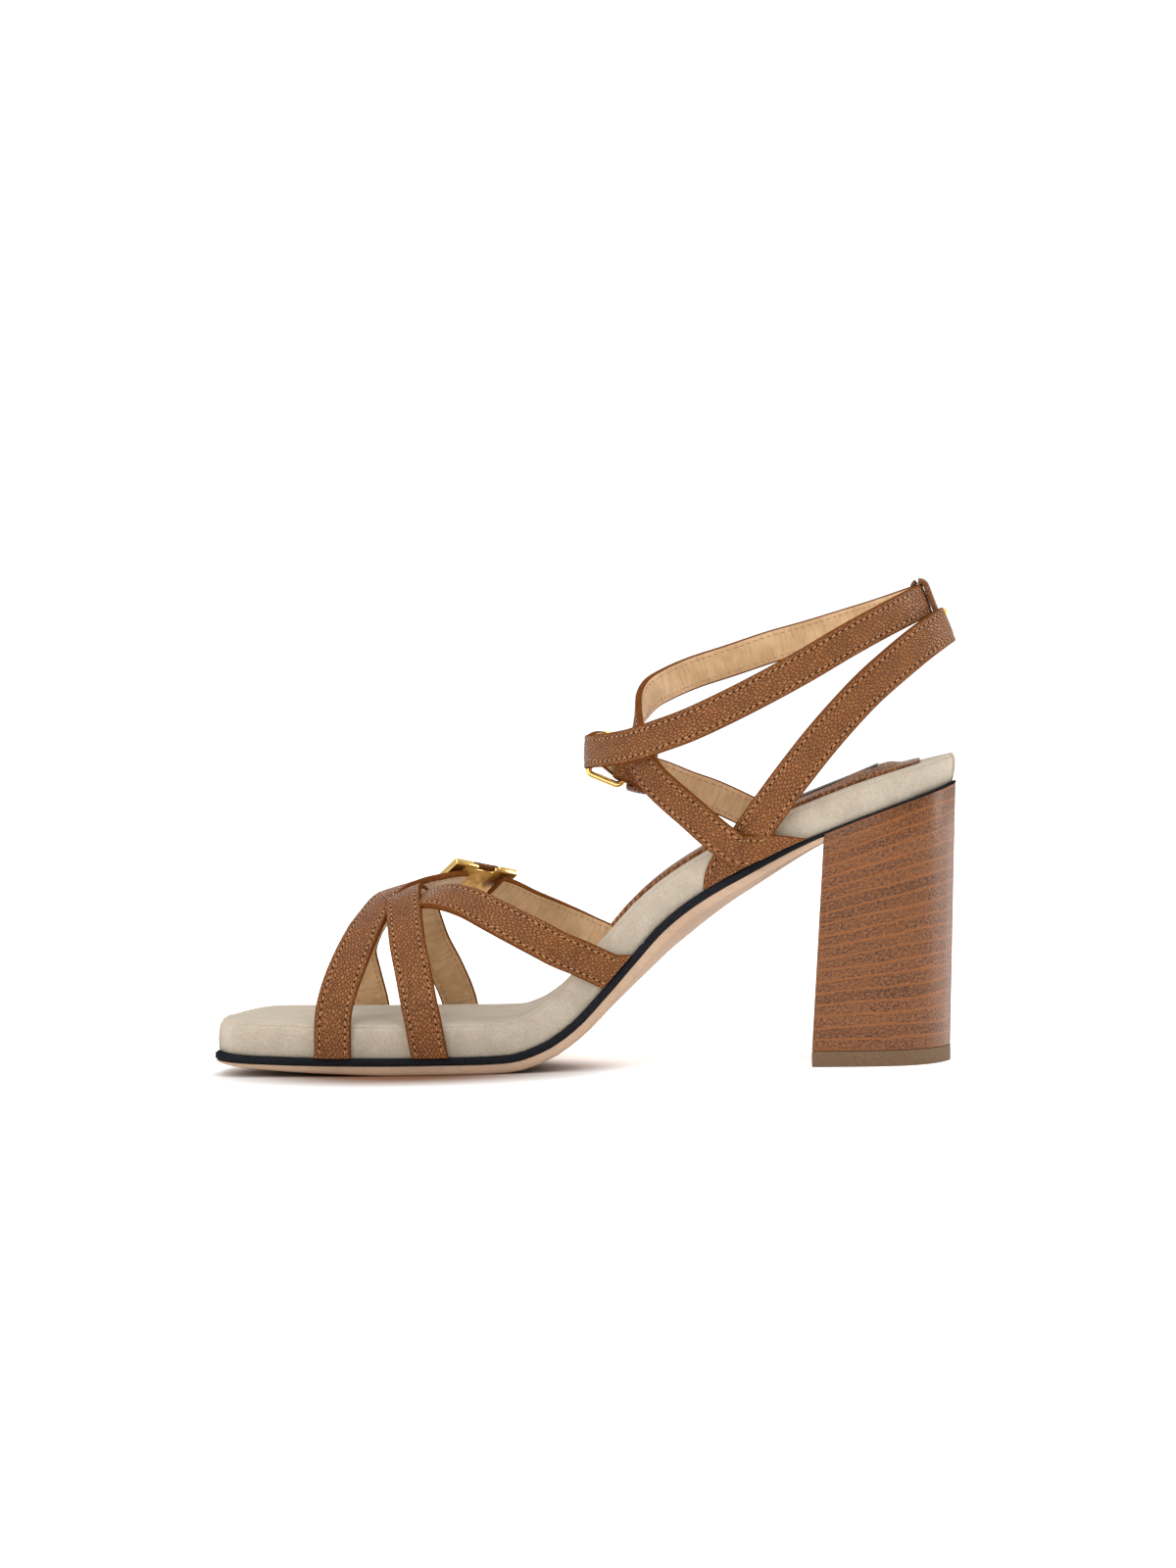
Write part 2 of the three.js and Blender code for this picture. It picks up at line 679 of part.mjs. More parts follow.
function roundedRectangle(length, width, radius) {
  const [x, y] = [length / 2, width / 2];
  const shape = new THREE.Shape();
  shape.moveTo(-x + radius, -y);
  shape.lineTo(x - radius, -y);
  shape.absarc(x - radius, -y + radius, radius, -Math.PI / 2, 0);
  shape.lineTo(x, y - radius);
  shape.absarc(x - radius, y - radius, radius, 0, Math.PI / 2);
  shape.lineTo(-x + radius, y);
  shape.absarc(-x + radius, y - radius, radius, Math.PI / 2, Math.PI);
  shape.lineTo(-x, -y + radius);
  shape.absarc(-x + radius, -y + radius, radius, Math.PI, 1.5 * Math.PI);
  return shape;
}

// A flat plate of some thickness with bevelled faces, its middle at the origin
function plate(shape, thickness, bevel) {
  const g = new THREE.ExtrudeGeometry(shape, {
    depth: thickness - 2 * bevel,
    bevelThickness: bevel,
    bevelSize: bevel,
    bevelOffset: -bevel,
    bevelSegments: 1,
    curveSegments: 2,
  });
  return g.translate(0, 0, bevel - thickness / 2);
}

// Materials, after the real ones
const finish = (color, roughness, metalness = 0) =>
  new THREE.MeshStandardMaterial({ color, roughness, metalness });
const grainedLeather = finish(0x8a5228, 0.55);
const suede = finish(0xcdc0aa, 0.95);
const blackEdge = finish(0x26282c, 0.4);
const tanLeather = finish(0xcda88a, 0.6);
const stackedLeather = finish(0x96603a, 0.4);
const rubber = finish(0x7a6450, 0.8);
const gold = finish(0xd9a940, 0.25, 1);
const blackPatch = finish(0x141414, 0.6);

const sandal = new THREE.Group();
function addPiece(name, body, material) {
  const made = body.getMesh();
  const positions = new Float32Array(made.numVert * 3);
  for (let i = 0; i < made.numVert; i++) {
    positions.set(made.vertProperties.subarray(i * made.numProp, i * made.numProp + 3), i * 3);
  }
  const geometry = new THREE.BufferGeometry();
  geometry.setAttribute("position", new THREE.BufferAttribute(positions, 3));
  geometry.setIndex(new THREE.BufferAttribute(made.triVerts, 1));
  geometry.computeVertexNormals();
  const mesh = new THREE.Mesh(geometry, material.clone());
  mesh.name = name;
  sandal.add(mesh);
}

addPiece("outsole", makeOutsole(), tanLeather);
addPiece("board", makeBoard(), blackEdge);
addPiece("footbed", footbedBlock(), suede);
addPiece("sock", makeSock(), grainedLeather);
addPiece("label", makeLabel(), blackPatch);
addPiece("heel", heelBlock(), stackedLeather);
addPiece("top_piece", makeTopPiece(), rubber);

const envelope = soleEnvelope();

// The vamp: the front strap runs into the clasp from both sides, the middle and the rear strap cross under it
const frontPoints = [
  ...strapFoot(strapFeet.frontMedial),
  ...frontStrap.map((row) => strapPoint(row, vampHeight)),
  ...strapFoot(strapFeet.frontLateral).reverse(),
];
const middlePoints = [
  ...strapFoot(strapFeet.middleMedial),
  ...middleStrap.map((row) => strapPoint(row, vampHeight)),
  ...strapFoot(strapFeet.middleLateral).reverse(),
];
const rearPoints = [
  ...strapFoot(strapFeet.rearMedial),
  ...rearStrap.map((row) => strapPoint(row, vampHeight)),
  ...strapFoot(strapFeet.rearLateral).reverse(),
];
const frontFrames = strapFrames(frontPoints, vampOutward, strapSteps.front);
const claspX = toeTip + claspAt * footLength;
const claspIndex = frontFrames.findIndex(({ p }) => p.z > vampHeight / 2 && p.x > claspX);
const claspFrame = frontFrames[claspIndex];
const stepLength = frontFrames[1].p.distanceTo(frontFrames[0].p);
const gripSteps = Math.round((claspLength / 2 - claspGrip) / stepLength);
const frontRibbon = ribbon(frontFrames.slice(0, claspIndex - gripSteps + 1), strapWidth, strapThickness);
const outerRibbon = ribbon(frontFrames.slice(claspIndex + gripSteps), strapWidth, strapThickness);
const middleFrames = strapFrames(middlePoints, vampOutward, strapSteps.middle);
const rearFrames = strapFrames(rearPoints, vampOutward, strapSteps.rear);
const crossingRibbons = [middleFrames, rearFrames].map((frames) => ribbon(frames, strapWidth, strapThickness));
const vamp = frontRibbon.add(crossingRibbons[0]).add(crossingRibbons[1]).subtract(envelope);
addPiece("vamp_straps", largest(vamp), grainedLeather);
addPiece("vamp_outer_strap", largest(outerRibbon.subtract(envelope)), grainedLeather);

// The buckle strap and its hinge: the bar lies under the strap's upper end, which is folded round it
const bucklePoints = [
  ...strapFoot(strapFeet.buckle),
  ...buckleStrap.map((row) => strapPoint(row, ankleHeight)),
];
const buckleFrames = strapFrames(bucklePoints, ankleOutward, strapSteps.buckle);
const hinge = turnedBack(buckleFrames[buckleFrames.length - 1], -(buckleWire / 2 + seam + strapThickness / 2));
const inHinge = (x, y, z) =>
  hinge.p.clone().addScaledVector(hinge.t, x).addScaledVector(hinge.w, y).addScaledVector(hinge.n, z);
const barSpan = buckleLength - buckleWire;
const barLevel = Math.sqrt(barSpan ** 2 - buckleLean ** 2);
const strapOverBar = buckleWire / 2 + seam + strapThickness / 2;

// The straps round the heel and the ankle, joined where they are sewn together at the board
const mirrored = (rows) => rows.map((row) => ({ ...row, across: -row.across }));
const heelPoints = [
  ...strapFoot(strapFeet.heelMedial),
  ...[...mirrored(heelStrap), heelStrapBack, ...[...heelStrap].reverse()].map((row) =>
    strapPoint(row, ankleHeight),
  ),
  ...strapFoot(strapFeet.heelLateral).reverse(),
];
const tailOffset = strapThickness + seam;
const ankleCrossingAt = 0.722; // where the ankle strap crosses the heel strap's foot
const tail = buckleStrap
  .filter((row) => row.at < tipAt)
  .reverse()
  .slice(1)
  .map((row) => {
    const p = strapPoint(row, ankleHeight);
    return p.addScaledVector(ankleOutward(p), tailOffset);
  });
const anklePoints = [
  ...strapFoot(strapFeet.ankle),
  onLast(ankleCrossingAt, -medialAt(ankleCrossingAt) - crossingLift, strapWidth / 2),
  ...ankleStrap.map((row) => strapPoint(row, ankleHeight)),
  inHinge(-barLevel, 0, buckleLean - strapOverBar - seam),
  inHinge(1, 0, strapOverBar + tailOffset + seam),
  ...tail,
];
const heelFrames = strapFrames(heelPoints, ankleOutward, strapSteps.heel);
const ankleFrames = strapFrames(anklePoints, ankleOutward, strapSteps.ankle);
const heelRibbon = ribbon(heelFrames, strapWidth, strapThickness);
const ankleRibbon = ribbon(ankleFrames, ankleStrapWidth, strapThickness);

// The buckle: a frame of wire, with a prong that turns on its hinge bar and rests on its front bar
const frameShape = roundedRectangle(buckleLength, buckleWidth, buckleWire);
frameShape.holes.push(roundedRectangle(buckleLength - 2 * buckleWire, buckleWidth - 2 * buckleWire, 0.5));
const lean = Math.asin(buckleLean / barSpan);
const frameWire = plate(frameShape, buckleWire, buckleWire / 6).translate(-barSpan / 2, 0, 0).rotateY(lean);
addPiece("buckle", framed(frameWire, hinge), gold);

const prongLift = buckleWire / 2 + seam + prongWire / 2;
const prongEnd = 1.2; // how far the prong's tip reaches past the front bar
function prongBody(grown) {
  const length = barSpan + prongEnd;
  const rod = new THREE.CylinderGeometry(prongWire / 2 + grown, prongWire / 2 + grown, length, 10);
  const ring = tubeRing(buckleWire / 2 + seam, prongLift + prongWire / 2, prongWire + 2 * grown);
  rod.rotateZ(Math.PI / 2).translate(-length / 2, 0, prongLift).rotateY(lean);
  return framed(rod, hinge).add(framed(ring, hinge));
}
addPiece("prong", prongBody(0), gold);

// The buckle strap's end goes round the hinge bar as an eye, with a slot for the prong, and is sewn under the
// strap
const eyeInside = strapOverBar - strapThickness / 2;
const eye = framed(tubeRing(eyeInside, eyeInside + strapThickness, ankleStrapWidth), hinge);
const foldAngle = -0.3;
const fold = new THREE.BoxGeometry(foldLength, ankleStrapWidth, strapThickness * 0.7);
fold.translate(foldLength / 2, 0, 0).rotateY(foldAngle).translate(0, 0, seam - strapOverBar);
const slotLength = 2 * (strapOverBar + strapThickness);
const slot = new THREE.BoxGeometry(slotLength, prongWire + 3 * seam, slotLength);
slot.translate((buckleWire - slotLength) / 2, 0, 0);
const barRadius = buckleWire / 2 + seam;
const barRoom = new THREE.CylinderGeometry(barRadius, barRadius, buckleWidth, ringSides);
const buckleRibbon = ribbon(buckleFrames, ankleStrapWidth, strapThickness);
const buckleStrapBody = buckleRibbon
  .add(eye)
  .add(framed(fold, hinge))
  .subtract(framed(barRoom, hinge))
  .subtract(framed(slot, hinge))
  .subtract(prongBody(seam))
  .subtract(envelope);
addPiece("buckle_strap", largest(buckleStrapBody), grainedLeather);
const ankleBody = heelRibbon.add(ankleRibbon).subtract(envelope).subtract(prongBody(1.3 * seam));
addPiece("ankle_straps", largest(ankleBody), grainedLeather);

// The keeper behind the buckle goes round the buckle strap and the free end
const behind = buckleFrames.findIndex(({ p }) => p.distanceTo(hinge.p) < buckleKeeperBehind);
const keeperHeight = strapThickness + tailOffset + 2 * keeperPlay;
const keeperInside = ankleStrapWidth + 2 * keeperPlay;
const keeperShape = roundedRectangle(keeperHeight + 2 * keeperWall, keeperInside + 2 * keeperWall, 0.8);
keeperShape.holes.push(roundedRectangle(keeperHeight, keeperInside, 0.3));
const keeperLoop = plate(keeperShape, keeperWidth, 0.2).rotateY(-Math.PI / 2).translate(0, 0, tailOffset / 2);
addPiece("buckle_keeper", framed(keeperLoop, buckleFrames[behind]), grainedLeather);

// The keeper at the back goes round the ankle strap, and its tab is sewn to the inside of the heel strap
const backFrame = ankleFrames.reduce((a, b) => (b.p.x > a.p.x ? b : a));
const heelBack = heelFrames.reduce((a, b) => (b.p.x > a.p.x ? b : a));
const tabFace = heelBack.p.clone().sub(backFrame.p).dot(backFrame.n) - strapThickness / 2 - 3 * seam;
const [loopN, loopW] = [strapThickness, ankleStrapWidth].map((size) => size / 2 + keeperPlay + keeperWall);
const tabShape = new THREE.Shape([
  new THREE.Vector2(-loopN, -loopW),
  new THREE.Vector2(loopN, -loopW),
  new THREE.Vector2(loopN, loopW * 0.2),
  new THREE.Vector2(tabFace, loopW * 0.8),
  new THREE.Vector2(tabFace, loopW * 1.5),
  new THREE.Vector2(tabFace - keeperWall, loopW * 1.5),
  new THREE.Vector2(loopN - keeperWall, loopW),
  new THREE.Vector2(-loopN, loopW),
]);
tabShape.holes.push(roundedRectangle(2 * (loopN - keeperWall), 2 * (loopW - keeperWall), 0.3));
const backKeeper = plate(tabShape, backKeeperWidth, 0.2).rotateY(-Math.PI / 2);
addPiece("back_keeper", framed(backKeeper, backFrame), grainedLeather);

// A small stud on the outside of the heel strap, under the keeper
const stud = new THREE.CylinderGeometry(studDiameter * 0.3, studDiameter / 2, studHeight, 16);
stud.rotateX(Math.PI / 2);
const studLift = strapThickness / 2 + seam + studHeight / 2;
stud.translate(0, -strapWidth / 2 + studDiameter, studLift);
addPiece("stud", framed(stud, heelBack), gold);

// The clasp: a plate over the two strap ends, with a notch in its upper edge and a leather inlay in its face
const claspOffset = strapThickness / 2 + seam + claspThickness / 2;
const claspPlate = plate(roundedRectangle(claspLength, claspWidth, 1), claspThickness, 0.4);
const inlayPocket = new THREE.BoxGeometry(inlayLength + 2 * seam, 2 * claspWidth, inlayDepth * 2);
const notch = new THREE.BoxGeometry(claspNotchLength, claspNotchDepth * 2, claspThickness * 2);
inlayPocket.translate(0, 0, claspThickness / 2);
notch.translate(0, -claspWidth / 2, 0);
const clasp = framed(claspPlate, claspFrame, claspOffset)
  .subtract(framed(inlayPocket, claspFrame, claspOffset))
  .subtract(framed(notch, claspFrame, claspOffset));
addPiece("clasp", largest(clasp), gold);
const inlayLift = claspOffset + claspThickness / 2 - inlayDepth / 2 + seam / 2;
const inlay = plate(roundedRectangle(inlayLength, claspWidth, 0.4), inlayDepth - seam / 2, 0.2);
addPiece("clasp_inlay", framed(inlay, claspFrame, inlayLift), grainedLeather);

export default sandal;
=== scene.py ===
# Heeled sandal for the right foot. The toe points to -X, the inner side to -Y, +Z is up; shapes are worked out in
# millimetres and placed in metres.
import math

import bmesh
import bpy
from mathutils import Matrix, Vector


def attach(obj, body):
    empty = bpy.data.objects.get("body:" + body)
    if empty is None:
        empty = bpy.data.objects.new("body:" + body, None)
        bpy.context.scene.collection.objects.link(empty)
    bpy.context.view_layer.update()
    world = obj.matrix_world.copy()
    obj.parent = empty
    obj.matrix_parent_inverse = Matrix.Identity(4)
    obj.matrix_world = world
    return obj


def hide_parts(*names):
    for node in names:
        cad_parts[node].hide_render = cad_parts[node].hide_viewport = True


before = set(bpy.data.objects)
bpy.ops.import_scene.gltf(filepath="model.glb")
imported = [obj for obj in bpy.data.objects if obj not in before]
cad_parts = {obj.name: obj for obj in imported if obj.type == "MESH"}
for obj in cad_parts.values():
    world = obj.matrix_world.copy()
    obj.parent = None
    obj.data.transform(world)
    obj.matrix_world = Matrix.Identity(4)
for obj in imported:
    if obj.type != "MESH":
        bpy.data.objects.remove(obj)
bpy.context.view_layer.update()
MM = 0.001

# Camera: where the photograph was taken from, almost level, from the inner side
CAMERA_AIM = Vector((-0.0882, 0.0, 0.0852))
CAMERA_DISTANCE = 1.8
CAMERA_TURN, CAMERA_RISE, CAMERA_ROLL = (math.radians(a) for a in (4.0, 2.468, 1.04))
CAMERA_LENS = 135.675


def put_in_scene(name, data):
    obj = bpy.data.objects.new(name, data)
    bpy.context.scene.collection.objects.link(obj)
    return obj


def place_camera():
    a, e, r = CAMERA_TURN, CAMERA_RISE, CAMERA_ROLL
    back = Vector((math.sin(a) * math.cos(e), -math.cos(a) * math.cos(e), math.sin(e)))
    right = Vector((0, 0, 1)).cross(back).normalized()
    up = back.cross(right)
    right, up = math.cos(r) * right - math.sin(r) * up, math.sin(r) * right + math.cos(r) * up
    data = bpy.data.cameras.new("camera")
    data.lens = CAMERA_LENS
    data.sensor_width = 36
    camera = put_in_scene("camera", data)
    turn = Matrix((right, up, back)).transposed()
    camera.matrix_world = Matrix.Translation(CAMERA_AIM + back * CAMERA_DISTANCE) @ turn.to_4x4()
    bpy.context.scene.camera = camera


place_camera()

# Sizes of the last and the sole, in millimetres
FOOT_LENGTH = 224.4
BALL, WAIST, SEAT = 80.0, 50.0, 54.0
HEEL_HEIGHT = 84.6
TOE_SPRING = 1.8
SPRING_END = 0.27
SOLE_THICKNESS = 2.8
WAIST_DEPTH = 3.2
BOARD_THICKNESS = 2.1
SEAT_BOARD = 0.9
FOOTBED_TOE, FOOTBED_SEAT = 10.4, 9.8
SOCK_THICKNESS = 0.9
SEAM = 0.3
STRAP_THICKNESS = 2.0
VAMP_WIDTH, ANKLE_WIDTH = 11.0, 10.0
VAMP_HEIGHT, ANKLE_HEIGHT = 52.0, 60.0
HEEL_SEAT_LENGTH, HEEL_FOOT_LENGTH, HEEL_FOOT_WIDTH = 39.4, 41.4, 50.0
HEEL_OVERHANG = 2.8
BREAST_HOLLOW = 1.2
TOP_PIECE = 4.8
CROSSING_LIFT = 1.2
CROSSING_OUT = 3.1

GROUND_STACK = SOLE_THICKNESS + SEAM + BOARD_THICKNESS
HEEL_RISE = HEEL_HEIGHT - GROUND_STACK
TOE_TIP = HEEL_FOOT_LENGTH / 2 + HEEL_OVERHANG - FOOT_LENGTH
BREAST_AT = 1 - HEEL_SEAT_LENGTH / FOOT_LENGTH
FOOTBED_BULGE = 0.3
FOOTBED_INSET = STRAP_THICKNESS / 2 + SEAM + FOOTBED_BULGE
MEDIAL, LATERAL = -1, 1


def smooth(rows):
    """A smooth curve through (place, value) rows that never swings past them."""
    slopes = [(b[1] - a[1]) / (b[0] - a[0]) for a, b in zip(rows, rows[1:])]
    tangents = []
    for i in range(len(rows)):
        before, after = slopes[max(0, i - 1)], slopes[min(i, len(slopes) - 1)]
        tangents.append(0 if before * after <= 0 else 2 * before * after / (before + after))

    def value(at):
        i = next((k for k in range(1, len(rows)) if at <= rows[k][0]), len(rows) - 1)
        (x0, y0), (x1, y1) = rows[i - 1], rows[i]
        t = min(1, max(0, (at - x0) / (x1 - x0)))
        u = 1 - t
        swing = (x1 - x0) * t * u * (tangents[i - 1] * u - tangents[i] * t)
        return y0 * (1 + 2 * t) * u * u + y1 * (1 + 2 * u) * t * t + swing

    return value


def mix(a, b, t):
    return a + (b - a) * t


def ease(x, low, high):
    t = min(1, max(0, (x - low) / (high - low)))
    return t * t * (3 - 2 * t)


# The last's bottom from the side: share of the length from the toe, share of the heel's rise
rise_at = smooth([(-0.1, 0), (0.36, 0), (0.4, 0.0045), (0.44, 0.038), (0.48, 0.11), (0.52, 0.225), (0.56, 0.352),
                  (0.6, 0.476), (0.64, 0.566), (0.7, 0.666), (0.78, 0.773), (0.88, 0.884), (1, 1), (1.1, 1.09)])
# Its outline from above: share of the length, inner and outer half width as shares of each part's width
OUTLINE = [
    (BALL, [(0, 0.3, -0.1), (0.008, 0.36, 0.06), (0.018, 0.4, 0.22), (0.03, 0.425, 0.34), (0.05, 0.443, 0.415),
            (0.09, 0.456, 0.46), (0.16, 0.47, 0.498), (0.25, 0.475, 0.525), (0.33, 0.46, 0.53), (0.4, 0.43, 0.515),
            (0.47, 0.38, 0.478)]),
    (WAIST, [(0.55, 0.52, 0.66), (0.65, 0.44, 0.57), (0.75, 0.46, 0.54)]),
    (SEAT, [(0.84, 0.48, 0.51), (0.9, 0.485, 0.495), (0.94, 0.455, 0.46), (0.97, 0.37, 0.37), (0.99, 0.23, 0.23),
            (1, 0.09, 0.09)]),
]
medial_at = smooth([(at, inner * width) for width, rows in OUTLINE for at, inner, _ in rows])
lateral_at = smooth([(at, outer * width) for width, rows in OUTLINE for at, _, outer in rows])
SOLE = [(0, 0.22, 0), (0.03, 0.4, 0), (0.08, 0.6, 0), (0.16, 0.82, 0), (0.25, 1, 0), (0.46, 1, 0), (0.51, 1, 0.08),
        (0.56, 1, 0.5), (0.62, 1, 1), (0.7, 0.9, 0.7), (0.78, 0.72, 0.4), (0.84, 0.55, 0.1)]
sole_edge_at = smooth([(at, e) for at, e, _ in SOLE])
sole_belly_at = smooth([(at, b) for at, _, b in SOLE])


def edge_at(at, side):
    return (medial_at if side == MEDIAL else lateral_at)(at)


def share_of(x):
    """Where a place along the shoe, in millimetres, lies between the toe and the heel's end."""
    return (x - TOE_TIP) / FOOT_LENGTH


def last_height(at):
    return GROUND_STACK + TOE_SPRING * max(0, 1 - at / SPRING_END) ** 2 + HEEL_RISE * rise_at(at)


def last_slope(at):
    return (last_height(at + 0.002) - last_height(at - 0.002)) / (0.004 * FOOT_LENGTH)


def last_normal(at):
    return Vector((-last_slope(at), 0, 1)).normalized()


def on_last(at, across, lift):
    """A point over the last's bottom: across from the long axis, lift along the bottom's normal."""
    return Vector((TOE_TIP + at * FOOT_LENGTH, across, last_height(at))) + last_normal(at) * lift


def board_at(at):
    return mix(BOARD_THICKNESS, SEAT_BOARD, ease(at, BREAST_AT - 0.12, BREAST_AT))


def board_edge_at(at):
    """How much of the board's edge the heel leaves to be seen."""
    return mix(board_at(at), 0.45, ease(at, BREAST_AT - 0.015, BREAST_AT + 0.01))


def footbed_at(at):
    return mix(FOOTBED_TOE, FOOTBED_SEAT, at)


# Small tools of the workshop

def select_nothing():
    if bpy.context.object and bpy.context.object.mode != "OBJECT":
        bpy.ops.object.mode_set(mode="OBJECT")
    bpy.ops.object.select_all(action="DESELECT")


def take(obj):
    select_nothing()
    obj.select_set(True)
    bpy.context.view_layer.objects.active = obj
    return obj


def edit(obj):
    take(obj)
    bpy.ops.object.mode_set(mode="EDIT")


def edit_all(obj):
    edit(obj)
    bpy.ops.mesh.select_all(action="SELECT")


def done():
    bpy.ops.object.mode_set(mode="OBJECT")


def turn_outwards(obj):
    edit_all(obj)
    bpy.ops.mesh.normals_make_consistent(inside=False)
    done()


def add_modifier(obj, kind, **values):
    take(obj)
    made = obj.modifiers.new(kind.lower(), kind)
    for key, value in values.items():
        setattr(made, key, value)
    bpy.ops.object.modifier_apply(modifier=made.name)


def finish_piece(obj, name, materials, replaced=(), angle=40):
    """Names a piece, gives it its materials, rides it on the shoe and lets it stand for its solids."""
    obj.name = obj.data.name = name
    for m in materials:
        obj.data.materials.append(m)
    take(obj)
    bpy.ops.object.shade_smooth_by_angle(angle=math.radians(angle))
    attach(obj, "root")
    if replaced:
        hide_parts(*replaced)
    return obj


def laid_grid(rings, marks, kinds=None, close_ends=True):
    """A grid primitive laid over rings of points, one row a ring. marks gives each point's place on the flat
    pattern, in millimetres; it becomes the UV map. kinds gives each column of faces its material."""
    rows, columns = len(rings) - 1, len(rings[0]) - 1
    select_nothing()
    bpy.ops.mesh.primitive_grid_add(x_subdivisions=rows, y_subdivisions=columns, size=2, calc_uvs=True)
    obj = bpy.context.object
    mesh = obj.data
    places = [(round((v.co.x + 1) / 2 * rows), round((v.co.y + 1) / 2 * columns)) for v in mesh.vertices]
    uv = mesh.uv_layers.active.data
    for loop in mesh.loops:
        i, j = places[loop.vertex_index]
        uv[loop.index].uv = marks[i][j]
    if kinds:
        for face in mesh.polygons:
            face.material_index = kinds[min(places[v][1] for v in face.vertices)]
    for v, (i, j) in zip(mesh.vertices, places):
        v.co = rings[i][j] * MM
    edit_all(obj)
    bpy.ops.mesh.remove_doubles(threshold=1e-6)
    if close_ends:
        bpy.ops.mesh.fill_holes(sides=0)
    bpy.ops.mesh.select_all(action="SELECT")
    bpy.ops.mesh.normals_make_consistent(inside=False)
    done()
    return obj


def cut_below(obj, at, side, lift):
    """Cuts a strap off where it meets the board: at is the place on the last, lift the height over the board."""
    edge = side * edge_at(at, side)
    near = on_last(at, edge, 0)
    edit(obj)
    mesh = bmesh.from_edit_mesh(obj.data)
    for v in mesh.verts:
        v.select = (v.co / MM - near).length < 26 and v.co.y * side > 0
    mesh.select_flush_mode()
    mesh.select_flush(True)
    bmesh.update_edit_mesh(obj.data)
    bpy.ops.mesh.bisect(plane_co=on_last(at, edge, lift) * MM, plane_no=last_normal(at), use_fill=True,
                        clear_inner=True)
    done()


# Surfaces

def shader(name, color, roughness, **sockets):
    """A material with its Principled shader; single values go straight on the shader's own sockets."""
    made = bpy.data.materials.new(name)
    made.use_nodes = True
    bsdf = made.node_tree.nodes["Principled BSDF"]
    bsdf.inputs["Base Color"].default_value = (*color, 1)
    bsdf.inputs["Roughness"].default_value = roughness
    for key, value in sockets.items():
        bsdf.inputs[key.replace("_", " ")].default_value = value
    return made, made.node_tree, bsdf


def feed(bsdf, socket, value):
    bsdf.id_data.links.new(value, bsdf.inputs[socket])


def node(tree, kind, values=None, **settings):
    made = tree.nodes.new(kind)
    for key, value in settings.items():
        setattr(made, key, value)
    for key, value in (values or {}).items():
        socket = made.inputs[key]
        if isinstance(value, bpy.types.NodeSocket):
            tree.links.new(value, socket)
        else:
            socket.default_value = value
    return made


def math_node(tree, operation, a, b=0.0):
    return node(tree, "ShaderNodeMath", {0: a, 1: b}, operation=operation).outputs[0]


def times(tree, a, b):
    return math_node(tree, "MULTIPLY", a, b)


def ramp(tree, value, low, high, out_low=0.0, out_high=1.0):
    values = {"Value": value, "From Min": low, "From Max": high, "To Min": out_low, "To Max": out_high}
    return node(tree, "ShaderNodeMapRange", values, interpolation_type="SMOOTHSTEP").outputs[0]


def blend(tree, factor, a, b):
    made = node(tree, "ShaderNodeMix", data_type="RGBA")
    for key, value in ((0, factor), (6, a), (7, b)):
        if isinstance(value, bpy.types.NodeSocket):
            tree.links.new(value, made.inputs[key])
        else:
            made.inputs[key].default_value = value if key == 0 else (*value, 1)
    return made.outputs[2]


def noise(tree, vector, scale, detail=3.0, rough=0.55):
    values = {"Vector": vector, "Scale": scale, "Detail": detail, "Roughness": rough}
    return node(tree, "ShaderNodeTexNoise", values).outputs[0]


def mapped(tree, vector, scale=(1, 1, 1), turn=0.0):
    values = {"Vector": vector, "Scale": scale, "Rotation": (0, 0, turn)}
    return node(tree, "ShaderNodeMapping", values).outputs[0]


def bump(tree, bsdf, height, distance, strength=1.0):
    made = node(tree, "ShaderNodeBump", {"Height": height, "Distance": distance, "Strength": strength})
    feed(bsdf, "Normal", made.outputs[0])


def group(name, inputs, outputs):
    made = bpy.data.node_groups.new(name, "ShaderNodeTree")
    for label, kind, value in inputs:
        socket = made.interface.new_socket(label, in_out="INPUT", socket_type=kind)
        if value is not None:
            socket.default_value = value
    for label, kind in outputs:
        made.interface.new_socket(label, in_out="OUTPUT", socket_type=kind)
    return made, made.nodes.new("NodeGroupInput").outputs, made.nodes.new("NodeGroupOutput").inputs


def placed(tree, made, values):
    return node(tree, "ShaderNodeGroup", values, node_tree=made).outputs


def make_embossed_grain():
    """Leather embossed with small slanting cells: height, valleys and a slow change of tone."""
    made, given, out = group(
        "embossed_grain",
        [("Vector", "NodeSocketVector", None), ("Cells", "NodeSocketFloat", 1.0)],
        [("Height", "NodeSocketFloat"), ("Valleys", "NodeSocketFloat"), ("Tops", "NodeSocketFloat"),
         ("Tone", "NodeSocketFloat")],
    )
    wobble = node(made, "ShaderNodeTexNoise", {"Vector": given["Vector"], "Scale": 0.7, "Detail": 2.0}).outputs[1]
    moved = node(made, "ShaderNodeVectorMath", {0: given["Vector"], 1: wobble}, operation="ADD").outputs[0]
    cells = mapped(made, moved, (0.72, 1.25, 1.0), math.radians(-32))
    voronoi = node(made, "ShaderNodeTexVoronoi", {"Vector": cells, "Scale": given["Cells"], "Randomness": 0.85},
                   feature="DISTANCE_TO_EDGE", voronoi_dimensions="2D")
    raised = ramp(made, voronoi.outputs["Distance"], 0.0, 0.24)
    made.links.new(ramp(made, voronoi.outputs["Distance"], 0.16, 0.4), out["Tops"])
    fine = noise(made, given["Vector"], 4.0, 4.0)
    height = math_node(made, "ADD", times(made, raised, 0.85), times(made, fine, 0.3))
    made.links.new(height, out["Height"])
    made.links.new(math_node(made, "SUBTRACT", 1.0, raised), out["Valleys"])
    made.links.new(noise(made, given["Vector"], 0.12, 3.0), out["Tone"])
    return made


GRAIN = make_embossed_grain()


def uv_of(tree):
    return node(tree, "ShaderNodeTexCoord").outputs["UV"]


def place_of(tree):
    return node(tree, "ShaderNodeTexCoord").outputs["Object"]


